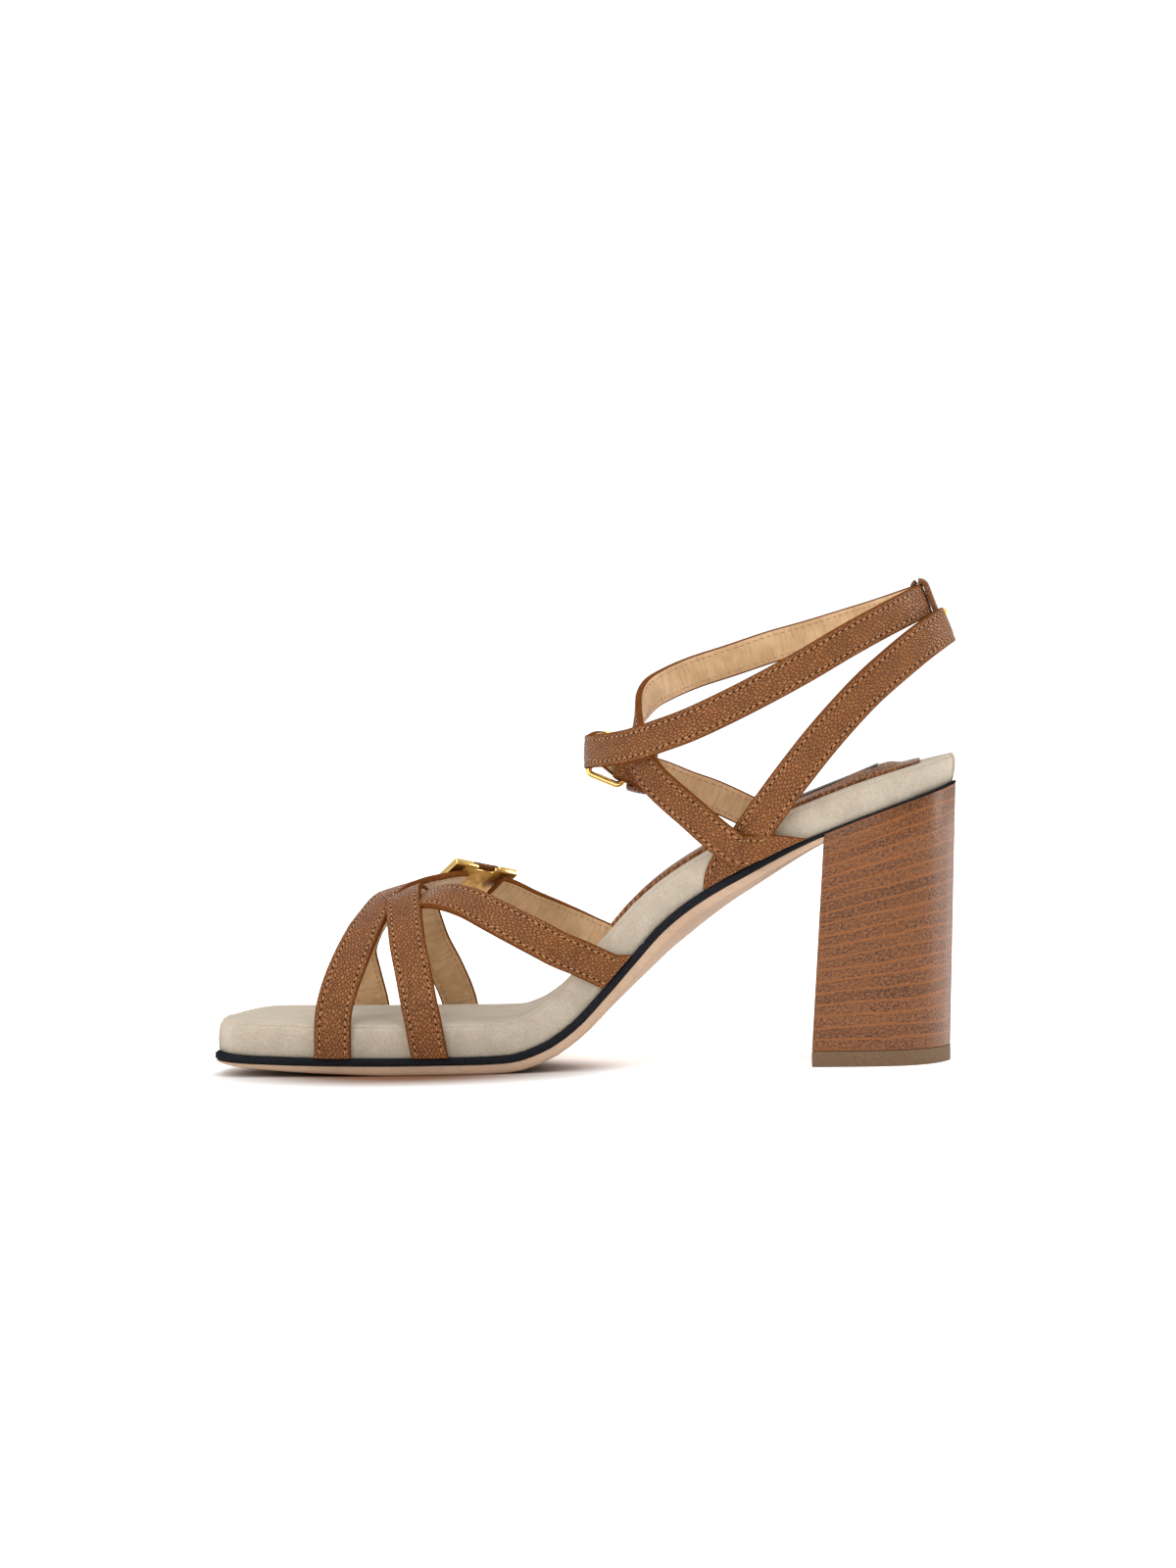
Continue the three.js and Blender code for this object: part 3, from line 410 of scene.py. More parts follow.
def make_grained_leather(name, light, dark, cells=1.0):
    made, tree, bsdf = shader(name, light, 0.5, Specular_IOR_Level=0.38)
    grain = placed(tree, GRAIN, {"Vector": uv_of(tree), "Cells": cells})
    tone = blend(tree, ramp(tree, grain["Tone"], 0.3, 0.7), dark, light)
    # Painted highlight: the tops of the cells are blended towards a lighter orange.
    tone = blend(tree, times(tree, grain["Tops"], 0.22), tone, (0.39, 0.16, 0.06))
    # Painted shade: the valleys between the cells are darkened towards a deep brown.
    color = blend(tree, times(tree, grain["Valleys"], 0.8), tone, [c * 0.36 for c in dark])
    feed(bsdf, "Base Color", color)
    feed(bsdf, "Roughness", ramp(tree, grain["Valleys"], 0.0, 0.8, 0.36, 0.85))
    bump(tree, bsdf, grain["Height"], 0.00022, 1.0)
    return made


def make_lining():
    """Smooth calf lining, finely creased across the strap."""
    made, tree, bsdf = shader("calf_lining", (0.52, 0.33, 0.165), 0.5, Specular_IOR_Level=0.35)
    uv = uv_of(tree)
    creases = noise(tree, mapped(tree, uv, (1.0, 0.12, 1.0)), 0.9, 4.0, 0.65)
    pores = noise(tree, uv, 5.0, 2.0)
    slow = noise(tree, uv, 0.11, 2.0)
    tone = blend(tree, ramp(tree, slow, 0.3, 0.7), (0.50, 0.31, 0.155), (0.64, 0.42, 0.235))
    # Painted shade: the low parts of the creases are darkened; the bump below gives them their shape.
    color = blend(tree, ramp(tree, creases, 0.52, 0.36, 0.0, 0.45), tone, (0.36, 0.21, 0.1))
    feed(bsdf, "Base Color", color)
    height = math_node(tree, "ADD", creases, times(tree, pores, 0.25))
    bump(tree, bsdf, height, 0.0002, 0.6)
    return made


def make_edge(name, color, roughness):
    made, tree, bsdf = shader(name, color, roughness, Specular_IOR_Level=0.0)
    place = place_of(tree)
    grain = noise(tree, place, 900.0, 3.0)
    feed(bsdf, "Base Color", blend(tree, ramp(tree, grain, 0.35, 0.7), [c * 0.75 for c in color], color))
    bump(tree, bsdf, grain, 0.0001, 0.5)
    return made


def make_suede():
    """Short nap: a fine speckle over brushed patches."""
    made, tree, bsdf = shader("beige_suede", (0.42, 0.36, 0.28), 0.95, Specular_IOR_Level=0.12, Sheen_Weight=0.1,
                              Sheen_Roughness=0.6)
    place = place_of(tree)
    speckle = noise(tree, place, 1600.0, 3.0, 0.7)
    patches = ramp(tree, noise(tree, place, 150.0, 4.0, 0.6), 0.3, 0.7)
    tone = blend(tree, patches, (0.43, 0.365, 0.285), (0.51, 0.44, 0.352))
    color = blend(tree, times(tree, ramp(tree, speckle, 0.35, 0.65), 0.5), tone, (0.33, 0.28, 0.215))
    feed(bsdf, "Base Color", color)
    bump(tree, bsdf, speckle, 0.00022, 0.7)
    return made


def make_sole_leather():
    made, tree, bsdf = shader("sole_leather", (0.44, 0.3, 0.2), 0.6, Specular_IOR_Level=0.35)
    place = place_of(tree)
    fibre = noise(tree, mapped(tree, place, (300, 900, 900)), 1.0, 4.0, 0.6)
    cloud = noise(tree, place, 38.0, 3.0)
    tone = blend(tree, ramp(tree, cloud, 0.3, 0.7), (0.43, 0.285, 0.19), (0.5, 0.345, 0.24))
    color = blend(tree, ramp(tree, fibre, 0.45, 0.7, 0.0, 0.3), tone, (0.34, 0.21, 0.13))
    feed(bsdf, "Base Color", color)
    bump(tree, bsdf, fibre, 0.00012, 0.5)
    return made


def make_stacked_leather():
    """Layers of leather, planed and waxed: the UV map's second number counts the layers from the ground."""
    made, tree, bsdf = shader("stacked_leather", (0.2, 0.065, 0.015), 0.4, Specular_IOR_Level=0.28, Coat_Weight=0.06,
                              Coat_Roughness=0.22)
    uv = uv_of(tree)
    split = node(tree, "ShaderNodeSeparateXYZ", {0: uv})
    along, level = split.outputs[0], split.outputs[1]
    wander = noise(tree, mapped(tree, uv, (0.05, 0.8, 1.0)), 1.0, 2.0)
    waved = math_node(tree, "ADD", level, times(tree, math_node(tree, "SUBTRACT", wander, 0.5), 0.5))
    layer = math_node(tree, "FLOOR", waved)
    within = math_node(tree, "FRACT", waved)
    off = math_node(tree, "ABSOLUTE", math_node(tree, "SUBTRACT", within, 0.5))
    seam = ramp(tree, off, 0.38, 0.47)
    thin = ramp(tree, off, 0.47, 0.5)
    own = node(tree, "ShaderNodeTexWhiteNoise", {"W": layer}, noise_dimensions="1D").outputs[0]
    grain = noise(tree, mapped(tree, uv, (0.42, 6.0, 1.0)), 1.6, 5.0, 0.7)
    speckle = noise(tree, mapped(tree, uv, (1.0, 5.4, 1.0)), 1.0, 4.0, 0.8)
    dense = ramp(tree, noise(tree, mapped(tree, uv, (0.06, 0.7, 1.0)), 1.0, 3.0), 0.35, 0.62, 0.35, 1.0)
    body = blend(tree, own, (0.137, 0.044, 0.0105), (0.187, 0.063, 0.0155))
    body = blend(tree, ramp(tree, grain, 0.45, 0.7, 0.0, 0.3), body, (0.07, 0.022, 0.008))
    body = blend(tree, ramp(tree, speckle, 0.5, 0.36, 0.0, 0.6), body, (0.29, 0.125, 0.047))
    flecks = times(tree, ramp(tree, speckle, 0.49, 0.58), dense)
    body = blend(tree, flecks, body, (0.03, 0.011, 0.006))
    lined = blend(tree, times(tree, seam, 0.8), body, (0.275, 0.088, 0.017))
    color = blend(tree, times(tree, thin, 0.55), lined, (0.12, 0.035, 0.008))
    feed(bsdf, "Base Color", color)
    feed(bsdf, "Roughness", ramp(tree, grain, 0.3, 0.7, 0.3, 0.46))
    height = math_node(tree, "SUBTRACT", times(tree, grain, 0.4), times(tree, thin, 0.5))
    bump(tree, bsdf, height, 0.00018, 0.5)
    return made


def make_rubber():
    made, tree, bsdf = shader("top_piece_rubber", (0.135, 0.08, 0.042), 0.75, Specular_IOR_Level=0.3)
    place = place_of(tree)
    grit = noise(tree, place, 1500.0, 3.0)
    feed(bsdf, "Base Color", blend(tree, ramp(tree, grit, 0.3, 0.7), (0.12, 0.07, 0.036), (0.155, 0.094, 0.052)))
    bump(tree, bsdf, grit, 0.00015, 0.5)
    return made


def make_gold(name, bright, dull, smoothest, roughest):
    made, tree, bsdf = shader(name, bright, smoothest, Metallic=1.0)
    wear = noise(tree, place_of(tree), 420.0, 5.0, 0.6)
    feed(bsdf, "Roughness", ramp(tree, wear, 0.35, 0.7, smoothest, roughest))
    feed(bsdf, "Base Color", blend(tree, ramp(tree, wear, 0.4, 0.75), bright, dull))
    return made


def make_thread():
    made, tree, bsdf = shader("tan_thread", (0.42, 0.22, 0.1), 0.75)
    fibre = noise(tree, place_of(tree), 2600.0, 2.0)
    feed(bsdf, "Base Color", blend(tree, fibre, (0.34, 0.165, 0.07), (0.56, 0.33, 0.165)))
    return made


def make_patch():
    made, tree, bsdf = shader("black_patch", (0.012, 0.012, 0.013), 0.5)
    weave = noise(tree, place_of(tree), 2400.0, 2.0)
    feed(bsdf, "Roughness", ramp(tree, weave, 0.3, 0.7, 0.4, 0.65))
    bump(tree, bsdf, weave, 0.0001, 0.5)
    return made


LEATHER = make_grained_leather("grained_leather", (0.258, 0.085, 0.012), (0.19, 0.059, 0.008))
SOCK_LEATHER = make_grained_leather("sock_leather", (0.28, 0.1, 0.024), (0.2, 0.07, 0.016))
LINING, SUEDE, SOLE_LEATHER = make_lining(), make_suede(), make_sole_leather()
EDGE = make_edge("painted_edge", (0.17, 0.055, 0.014), 0.65)
BLACK_EDGE = make_edge("black_edge", (0.017, 0.018, 0.022), 0.8)
# Painted shade: a small dark patch stands for the shade in each needle hole.
HOLE_SHADE = make_edge("needle_hole_shade", (0.02, 0.009, 0.005), 0.9)
STACKED, RUBBER, THREAD, PATCH = make_stacked_leather(), make_rubber(), make_thread(), make_patch()
GOLD = make_gold("polished_gold", (0.95, 0.66, 0.24), (0.85, 0.54, 0.17), 0.12, 0.22)
# A rougher gold with a darker colour: the darker colour is painted shade for the clasp plate's underside.
DULL_SHADED_GOLD = make_gold("dull_shaded_gold", (0.5, 0.26, 0.05), (0.36, 0.17, 0.03), 0.32, 0.5)


# Sole: outsole, board, footbed and sock are sheets laid on the last

def shrink(half, inset):
    return half - inset * (1 - math.exp(-half / inset)) if inset > 0 else half - inset


def sole_layer(levels, span=(0.0, 1.0), columns=12, sag=None, crown=None, count=96):
    """A closed layer of the sole. Each level follows the outline, inset and lifted off the last; the sheet that
    closes it below may sag, the one above may be crowned."""
    marks = [mix(span[0], span[1], (1 - math.cos(math.pi * i / count)) / 2) for i in range(count + 1)]

    def place(level, i, side, extra=0.0):
        inset, lift = level
        at = marks[i]
        share = (at - span[0]) / (span[1] - span[0])
        shifted = mix(span[0] + inset / FOOT_LENGTH, span[1] - inset / FOOT_LENGTH, share)
        middle = (lateral_at(at) - medial_at(at)) / 2
        half = shrink((lateral_at(at) + medial_at(at)) / 2, inset)
        return on_last(shifted, middle + side * half, lift(at) + extra) * MM

    points, faces = [], []
    around = [(i, MEDIAL) for i in range(count + 1)] + [(i, LATERAL) for i in reversed(range(count + 1))]
    for level in levels:
        points += [place(level, i, side) for i, side in around]
    n = len(around)
    for r in range(len(levels) - 1):
        faces += [(r * n + k, r * n + (k + 1) % n, (r + 1) * n + (k + 1) % n, (r + 1) * n + k) for k in range(n)]

    def sheet(r, bulge):
        rows = []
        for i in range(count + 1):
            ends = r * n + i, r * n + n - 1 - i
            if i in (0, count):
                rows.append(list(ends))
                continue
            row = [ends[0]]
            for j in range(1, columns):
                side = 2 * j / columns - 1
                row.append(len(points))
                points.append(place(levels[r], i, side, bulge(marks[i]) * (1 - side ** 4) if bulge else 0.0))
            rows.append(row + [ends[1]])
        made = []
        for a, b in zip(rows, rows[1:]):
            if len(a) == len(b):
                made += [(a[j], b[j], b[j + 1], a[j + 1]) for j in range(columns)]
            else:
                short, long = (a, b) if len(a) < len(b) else (b, a)
                fan = [(short[0] if j < columns / 2 else short[1], long[j], long[j + 1]) for j in range(columns)]
                fan.append((short[0], long[columns // 2], short[1]))
                made += fan
        return made

    faces += sheet(0, sag) + sheet(len(levels) - 1, crown)
    mesh = bpy.data.meshes.new("layer")
    mesh.from_pydata(points, [], faces)
    obj = put_in_scene("layer", mesh)
    turn_outwards(obj)
    return obj


def make_board():
    levels = [(0.5, -1.0), (0.12, -0.94), (0.0, -0.8), (0.0, -0.2), (0.12, -0.06), (0.5, 0.0)]
    board = sole_layer([(inset, lambda at, h=h: h * board_edge_at(at)) for inset, h in levels], columns=4)
    return finish_piece(board, "board_edge", [BLACK_EDGE], ["board"])


def make_outsole():
    def bottom(at, share):
        return -board_at(at) - SEAM - SOLE_THICKNESS * sole_edge_at(at) * share

    levels = [(1.3, 1.0), (0.75, 0.94), (0.45, 0.78), (0.35, 0.5), (0.35, 0.0), (0.8, -0.08)]
    sole = sole_layer([(inset, lambda at, h=h: bottom(at, h)) for inset, h in levels], span=(0.0, BREAST_AT),
                      sag=lambda at: -WAIST_DEPTH * sole_belly_at(at))
    return finish_piece(sole, "outsole_leather", [SOLE_LEATHER], ["outsole"])


def forefoot_crown(at):
    return 0.7 * (1 - ease(at, 0.42, 0.56)) * ease(at, 0.0, 0.12)


def upright_heel_end(obj):
    """The pad's heel end stands upright, although the seat it lies on slopes."""
    for v in obj.data.vertices:
        at = share_of(v.co.x / MM)
        high = v.co.z / MM - on_last(min(at, 1.0), 0, 0).z
        v.co.x += 0.4 * max(high, 0) * ease(at, 0.86, 0.985) * MM


def make_footbed():
    profile = [(0.35, 0.0), (0.12, 0.03), (-0.05, 0.1), (-0.18, 0.22), (-0.28, 0.38), (-0.28, 0.54), (-0.14, 0.68),
               (0.06, 0.79), (0.22, 0.845), (0.5, 0.875), (0.62, 0.882), (0.6, 0.905), (0.8, 0.95), (1.25, 0.98),
               (1.9, 0.995), (3.0, 1.0)]

    def lift(at, h):
        return 0.02 + (footbed_at(at) - 0.02) * h

    pad = sole_layer([(FOOTBED_INSET + inset, lambda at, h=h: lift(at, h)) for inset, h in profile],
                     span=(-0.003, 1.003), columns=16, crown=forefoot_crown)
    upright_heel_end(pad)
    finish_piece(pad, "footbed_suede", [SUEDE], ["footbed"], angle=60)
    return pad


SOCK_SPAN = (0.54, 0.985)
SOCK_EDGE = FOOTBED_INSET + 5.5


def sock_base(at):
    return footbed_at(at) + 0.05


def sock_crown(at):
    """The sock lies on a soft heel pad, highest in the middle."""
    return (0.7 * ease(at, 0.68, 0.8) + 0.8 * ease(at, 0.86, 0.95)) * (1 - ease(at, 0.965, 0.99))


def make_sock():
    profile = [(0.0, 0.0), (-0.05, 0.45), (0.15, 0.8), (0.5, 0.95), (1.6, 0.93), (2.0, 0.82), (2.4, 0.95), (4.0, 1.05)]
    sock = sole_layer([(SOCK_EDGE + inset, lambda at, h=h: sock_base(at) + h * (SOCK_THICKNESS + 0.25))
                       for inset, h in profile], span=SOCK_SPAN, columns=12, crown=sock_crown, count=60)
    mesh = sock.data
    layer = mesh.uv_layers.new(name="UVMap")
    for loop in mesh.loops:
        v = mesh.vertices[loop.vertex_index].co / MM
        layer.data[loop.index].uv = (v.x, v.y)
    upright_heel_end(sock)
    return finish_piece(sock, "heel_sock", [SOCK_LEATHER], ["sock"])


def make_label():
    """The patch on the sock: a plain sheet, cut with round corners, bent over the sock."""
    middle, length, width = 0.86, 24.0, 16.0
    select_nothing()
    bpy.ops.mesh.primitive_grid_add(x_subdivisions=24, y_subdivisions=8, size=1)
    patch = bpy.context.object
    edit_all(patch)
    bpy.ops.transform.resize(value=(length, width, 1))
    bpy.ops.mesh.extrude_region_move(TRANSFORM_OT_translate={"value": (0, 0, 0.35)})
    done()
    across = (lateral_at(middle) - medial_at(middle)) / 2
    low = SOCK_THICKNESS + 0.3
    for v in patch.data.vertices:
        at = middle + v.co.x / FOOT_LENGTH
        dome = sock_crown(at) * (1 - (v.co.y / 21) ** 4)
        v.co = on_last(at, across + v.co.y, sock_base(at) + low + dome + v.co.z) * MM
    turn_outwards(patch)
    add_modifier(patch, "BEVEL", width=0.00012, segments=2, limit_method="ANGLE")
    return finish_piece(patch, "plain_label", [PATCH], ["label"])


# Heel: a stack of rings from the ground to the seat

HEEL_LAYERS = 19


def heel_ring(level, height):
    count = 26
    sides = [mix(BREAST_AT, 1.0, math.sin(math.pi / 2 * i / count)) for i in range(count + 1)]

    def point(at, across, inward=0.0):
        share = (at - BREAST_AT) / (1 - BREAST_AT)
        top = on_last(at, across, 0)
        x = mix(HEEL_FOOT_LENGTH * (share - 0.5), top.x, level)
        return Vector((x + inward, mix(across * HEEL_FOOT_WIDTH / SEAT, across, level), height(at)))

    ring = [point(at, -medial_at(at)) for at in sides]
    ring += [point(at, lateral_at(at)) for at in reversed(sides)]
    for j in range(1, 10):
        share = j / 10
        across = mix(lateral_at(BREAST_AT), -medial_at(BREAST_AT), share)
        ring.append(point(BREAST_AT, across, BREAST_HOLLOW * math.sin(math.pi * share)))
    return ring


def rounded(p):
    return tuple(round(c, 3) for c in p)


def stacked_block(rings, levels):
    """Rises from its lowest ring to its highest, a face extruded from ring to ring, and closes the top."""
    n = len(rings[0])
    around = [0.0]
    for a, b in zip(rings[0], rings[0][1:] + rings[0][:1]):
        around.append(around[-1] + (b - a).length)
    select_nothing()
    bpy.ops.mesh.primitive_circle_add(vertices=n, radius=1, fill_type="NGON")
    block = bpy.context.object
    for v, p in zip(block.data.vertices, rings[0]):
        v.co = p * MM
    edit_all(block)
    for low, high in zip(rings, rings[1:]):
        bpy.ops.mesh.extrude_region_move()
        mesh = bmesh.from_edit_mesh(block.data)
        where = {rounded(p): k for k, p in enumerate(low)}
        for v in mesh.verts:
            if v.select:
                v.co = high[where[rounded(v.co / MM)]] * MM
        bmesh.update_edit_mesh(block.data)
    turn_outwards(block)
    mesh = block.data
    known = {rounded(p): (k, level) for ring, level in zip(rings, levels) for k, p in enumerate(ring)}
    layer = mesh.uv_layers.active or mesh.uv_layers.new(name="UVMap")
    for face in mesh.polygons:
        found = [known[rounded(mesh.vertices[v].co / MM)] for v in face.vertices]
        wraps = {0, n - 1} <= {k for k, _ in found} and len(found) == 4
        for loop, (k, level) in zip(face.loop_indices, found):
            layer.data[loop].uv = (around[n if wraps and k == 0 else k], level)
    return block


def make_heel():
    levels = [i / 6 for i in range(7)]
    foot = TOP_PIECE + 0.02

    def seat(at):
        return last_height(at) - board_edge_at(max(at, BREAST_AT + 0.01)) - 0.02

    rings = [heel_ring(level, lambda at, k=level: mix(foot, seat(at), k)) for level in levels]
    heel = stacked_block(rings, [level * HEEL_LAYERS for level in levels])
    add_modifier(heel, "BEVEL", width=0.0005, segments=2, limit_method="ANGLE", angle_limit=math.radians(50))
    return finish_piece(heel, "stacked_heel", [STACKED], ["heel"])


def make_top_piece():
    rings = [heel_ring(0, lambda at: 0), heel_ring(0, lambda at: TOP_PIECE)]
    block = stacked_block(rings, [0, 1])
    add_modifier(block, "BEVEL", width=0.00035, segments=2, limit_method="ANGLE", angle_limit=math.radians(50))
    return finish_piece(block, "heel_top_piece", [RUBBER], ["top_piece"])


# Straps: middle lines as shares of the length, of the ball's width and of the strap's height

FRONT_STRAP = [(0.167, -0.462, 0.25), (0.172, -0.425, 0.37), (0.185, -0.35, 0.54), (0.2, -0.25, 0.7),
               (0.214, -0.14, 0.818), (0.231, -0.03, 0.915), (0.255, 0.065, 0.948), (0.285, 0.145, 0.958),
               (0.32, 0.22, 0.957), (0.37, 0.33, 0.893), (0.408, 0.4, 0.785), (0.447, 0.45, 0.635),
               (0.486, 0.462, 0.43), (0.519, 0.44, 0.21)]
MIDDLE_STRAP = [(0.287, -0.466, 0.22), (0.281, -0.45, 0.34), (0.273, -0.41, 0.505), (0.265, -0.35, 0.64),
                (0.258, -0.255, 0.78), (0.252, -0.125, 0.9), (0.25, 0.02, 0.922), (0.254, 0.17, 0.88),
                (0.261, 0.32, 0.765), (0.272, 0.43, 0.57), (0.289, 0.487, 0.4), (0.304, 0.515, 0.22)]
REAR_STRAP = [(0.522, -0.352, 0.15), (0.495, -0.38, 0.335), (0.469, -0.397, 0.48), (0.443, -0.4, 0.61),
              (0.417, -0.388, 0.71), (0.383, -0.355, 0.802), (0.345, -0.3, 0.882), (0.307, -0.22, 0.913),
              (0.275, -0.12, 0.885), (0.244, 0, 0.828), (0.208, 0.15, 0.765), (0.183, 0.3, 0.665),
              (0.17, 0.4, 0.53), (0.174, 0.47, 0.37), (0.182, 0.5, 0.2)]
HEEL_STRAP = [(0.729, 0.306, 0.163), (0.774, 0.352, 0.312), (0.828, 0.36, 0.478), (0.88, 0.33, 0.612),
              (0.92, 0.275, 0.69), (0.956, 0.19, 0.752), (0.982, 0.09, 0.788)]
HEEL_STRAP_BACK = (0.991, 0, 0.797)
ANKLE_STRAP = [(0.692, -0.343, 0.188), (0.67, -0.322, 0.3), (0.645, -0.288, 0.44), (0.618, -0.262, 0.6),
               (0.596, -0.232, 0.752), (0.58, -0.195, 0.9), (0.573, -0.145, 1.01), (0.571, -0.07, 1.105),
               (0.575, 0.02, 1.18), (0.587, 0.11, 1.2), (0.612, 0.235, 1.165), (0.645, 0.325, 1.122),
               (0.69, 0.372, 1.073), (0.75, 0.385, 1.032), (0.8, 0.37, 1.0), (0.85, 0.325, 0.98),
               (0.9, 0.235, 0.967), (0.944, 0.115, 0.965), (0.962, 0, 0.962), (0.947, -0.11, 0.955),
               (0.91, -0.225, 0.935), (0.86, -0.325, 0.905), (0.803, -0.375, 0.867), (0.751, -0.388, 0.848),
               (0.699, -0.385, 0.848), (0.646, -0.36, 0.875), (0.605, -0.318, 0.938), (0.568, -0.25, 1.04),
               (0.535, -0.16, 1.155), (0.513, -0.07, 1.235), (0.503, 0.015, 1.27), (0.502, 0.09, 1.265)]
BUCKLE_STRAP = [(0.745, 0.372, 0.125), (0.725, 0.378, 0.205), (0.7, 0.378, 0.3), (0.665, 0.372, 0.435),
                (0.63, 0.358, 0.57), (0.595, 0.325, 0.738), (0.57, 0.292, 0.872), (0.547, 0.258, 0.998)]
TIP_AT = 0.672
CLASP_AT = 0.336
VAMP_TURN = 0.42
# Where the straps leave the board's edge
FRONT_FOOT, OUTER_FOOT, MIDDLE_FEET, REAR_FEET = 0.165, 0.541, (0.295, 0.311), (0.543, 0.186)
HEEL_FEET, ANKLE_FOOT, BUCKLE_FOOT = 0.69, 0.757, 0.772
ANKLE_MIDDLE = TOE_TIP + 0.757 * FOOT_LENGTH


def strap_point(row, height):
    at, across, above = row
    return Vector((TOE_TIP + at * FOOT_LENGTH, across * BALL, last_height(at) + above * height))


def strap_foot(at, side, lean=0.0, out=0.0):
    def edge(a):
        return side * (edge_at(a, side) + out)

    return [on_last(at + lean, edge(at + lean), -2 * STRAP_THICKNESS), on_last(at, edge(at), STRAP_THICKNESS / 2)]


def strap_points(rows, height):
    return [strap_point(row, height) for row in rows]


def above_turn(p):
    """How far a place on the vamp lies above the level where the straps turn over the foot."""
    return max(0, p.z - (last_height(share_of(p.x)) + VAMP_HEIGHT * VAMP_TURN))


def vamp_outward(p):
    up = above_turn(p)
    return Vector((-0.4 * up, p.y, 1.2 * up)).normalized()


def front_outward(p):
    """The front strap twists where it crosses over: its rear edge hangs lower."""
    up = above_turn(p)
    over = ease(p.y, -10, 8)
    return Vector((-mix(0.4, 0.1, over) * up, p.y + 6 * over, 1.2 * up)).normalized()


def ankle_outward(p):
    """Behind the heel the straps lean with the leg, their lower edge further back."""
    n = Vector(((p.x - ANKLE_MIDDLE) / 114 ** 2, p.y / 62 ** 2, 0)).normalized()
    n.z = 0.38 * ease(p.x, -4, 18)
    return n.normalized()


class StrapLine:
    """A strap's middle line, a centripetal curve through its points, measured along its length. At a distance it
    gives the place, the direction, the way the strap faces and the way across it."""

    def __init__(self, points, outward):
        self.outward = outward
        self.samples = []
        last = len(points) - 1
        for k in range(last):
            p1, p2 = points[k], points[k + 1]
            p0 = points[k - 1] if k else p1 + (p1 - p2)
            p3 = points[k + 2] if k < last - 1 else p2 + (p2 - p1)
            d0, d1, d2 = (max(1e-4, (b - a).length) ** 0.5 for a, b in ((p0, p1), (p1, p2), (p2, p3)))
            t1 = ((p1 - p0) / d0 - (p2 - p0) / (d0 + d1) + (p2 - p1) / d1) * d1
            t2 = ((p2 - p1) / d1 - (p3 - p1) / (d1 + d2) + (p3 - p2) / d2) * d1
            c2, c3 = -3 * p1 + 3 * p2 - 2 * t1 - t2, 2 * p1 - 2 * p2 + t1 + t2
            for i in range(24 if k < last - 1 else 25):
                t = i / 24
                self.samples.append((p1 + t1 * t + c2 * t * t + c3 * t ** 3,
                                     (t1 + 2 * c2 * t + 3 * c3 * t * t).normalized()))
        self.reach = [0.0]
        for (a, _), (b, _) in zip(self.samples, self.samples[1:]):
            self.reach.append(self.reach[-1] + (b - a).length)
        self.length = self.reach[-1]

    def at(self, s):
        s = min(self.length, max(0.0, s))
        low, high = 0, len(self.reach) - 1
        while high - low > 1:
            middle = (low + high) // 2
            low, high = (middle, high) if self.reach[middle] <= s else (low, middle)
        t = (s - self.reach[low]) / max(1e-9, self.reach[high] - self.reach[low])
        (pa, ta), (pb, tb) = self.samples[low], self.samples[high]
        p, direction = pa.lerp(pb, t), ta.lerp(tb, t).normalized()
        n = self.outward(p)
        n = (n - direction * n.dot(direction)).normalized()
        return p, direction, n, n.cross(direction)

    def frames(self, start=0, end=None):
        end = self.length if end is None else end
        count = max(2, round((end - start) / FINE))
        return [(mix(start, end, i / count), *self.at(mix(start, end, i / count))) for i in range(count + 1)]


def strap_section(half):
    """Section of a strap: padded outside with a groove at each row of stitches, round painted edges, flat lining."""
    b = STRAP_THICKNESS / 2
    outer = [(-half + 0.4, b), (-half + 1.1, b + 0.06), (-half + 1.65, b - 0.16), (-half + 2.2, b + 0.06),
             (-half * 0.45, b + 0.12), (0, b + 0.15)]
    outer += [(-u, v) for u, v in reversed(outer[:-1])]
    edge = [(half - 0.13, b - 0.2), (half, b - 0.55), (half, -b + 0.5), (half - 0.13, -b + 0.18)]
    inner = [(half - 0.45, -b), (half - 1.65, -b + 0.05), (half * 0.5, -b - 0.03), (0, -b - 0.04)]
    inner += [(-u, v) for u, v in reversed(inner[:-1])]
    back = [(-u, v) for u, v in reversed(edge)]
    section = outer + edge + inner + back + outer[:1]
    kinds = [1] * (len(outer) - 1) + [0] * 5 + [2] * (len(inner) - 1) + [0] * 5
    return section, kinds


def strap(frames, width, round_end=0.0):
    """A strap from its frames (distance, place, direction, facing, across); a round end narrows to its tip."""
    section, kinds = strap_section(width / 2)
    rings, marks = [], []
    last = frames[-1][0]
    for s, p, _, n, w in frames:
        k = 1.0
        if last - s < round_end:
            k = math.sqrt(max(0.02, 1 - (1 - (last - s) / round_end) ** 2))
        rings.append([p + w * (u * k) + n * v for u, v in section])
        marks.append([(s, u * k) for u, _ in section])
    obj = laid_grid(rings, marks, kinds)
    for face in obj.data.polygons:
        if len(face.vertices) > 6:
            face.material_index = 0
    return obj


def finish_strap(obj, name, replaced=()):
    return finish_piece(obj, name, [EDGE, LEATHER, LINING], replaced, angle=50)


# The vamp: the front strap runs over the others into the clasp, the middle one lies over the rear one

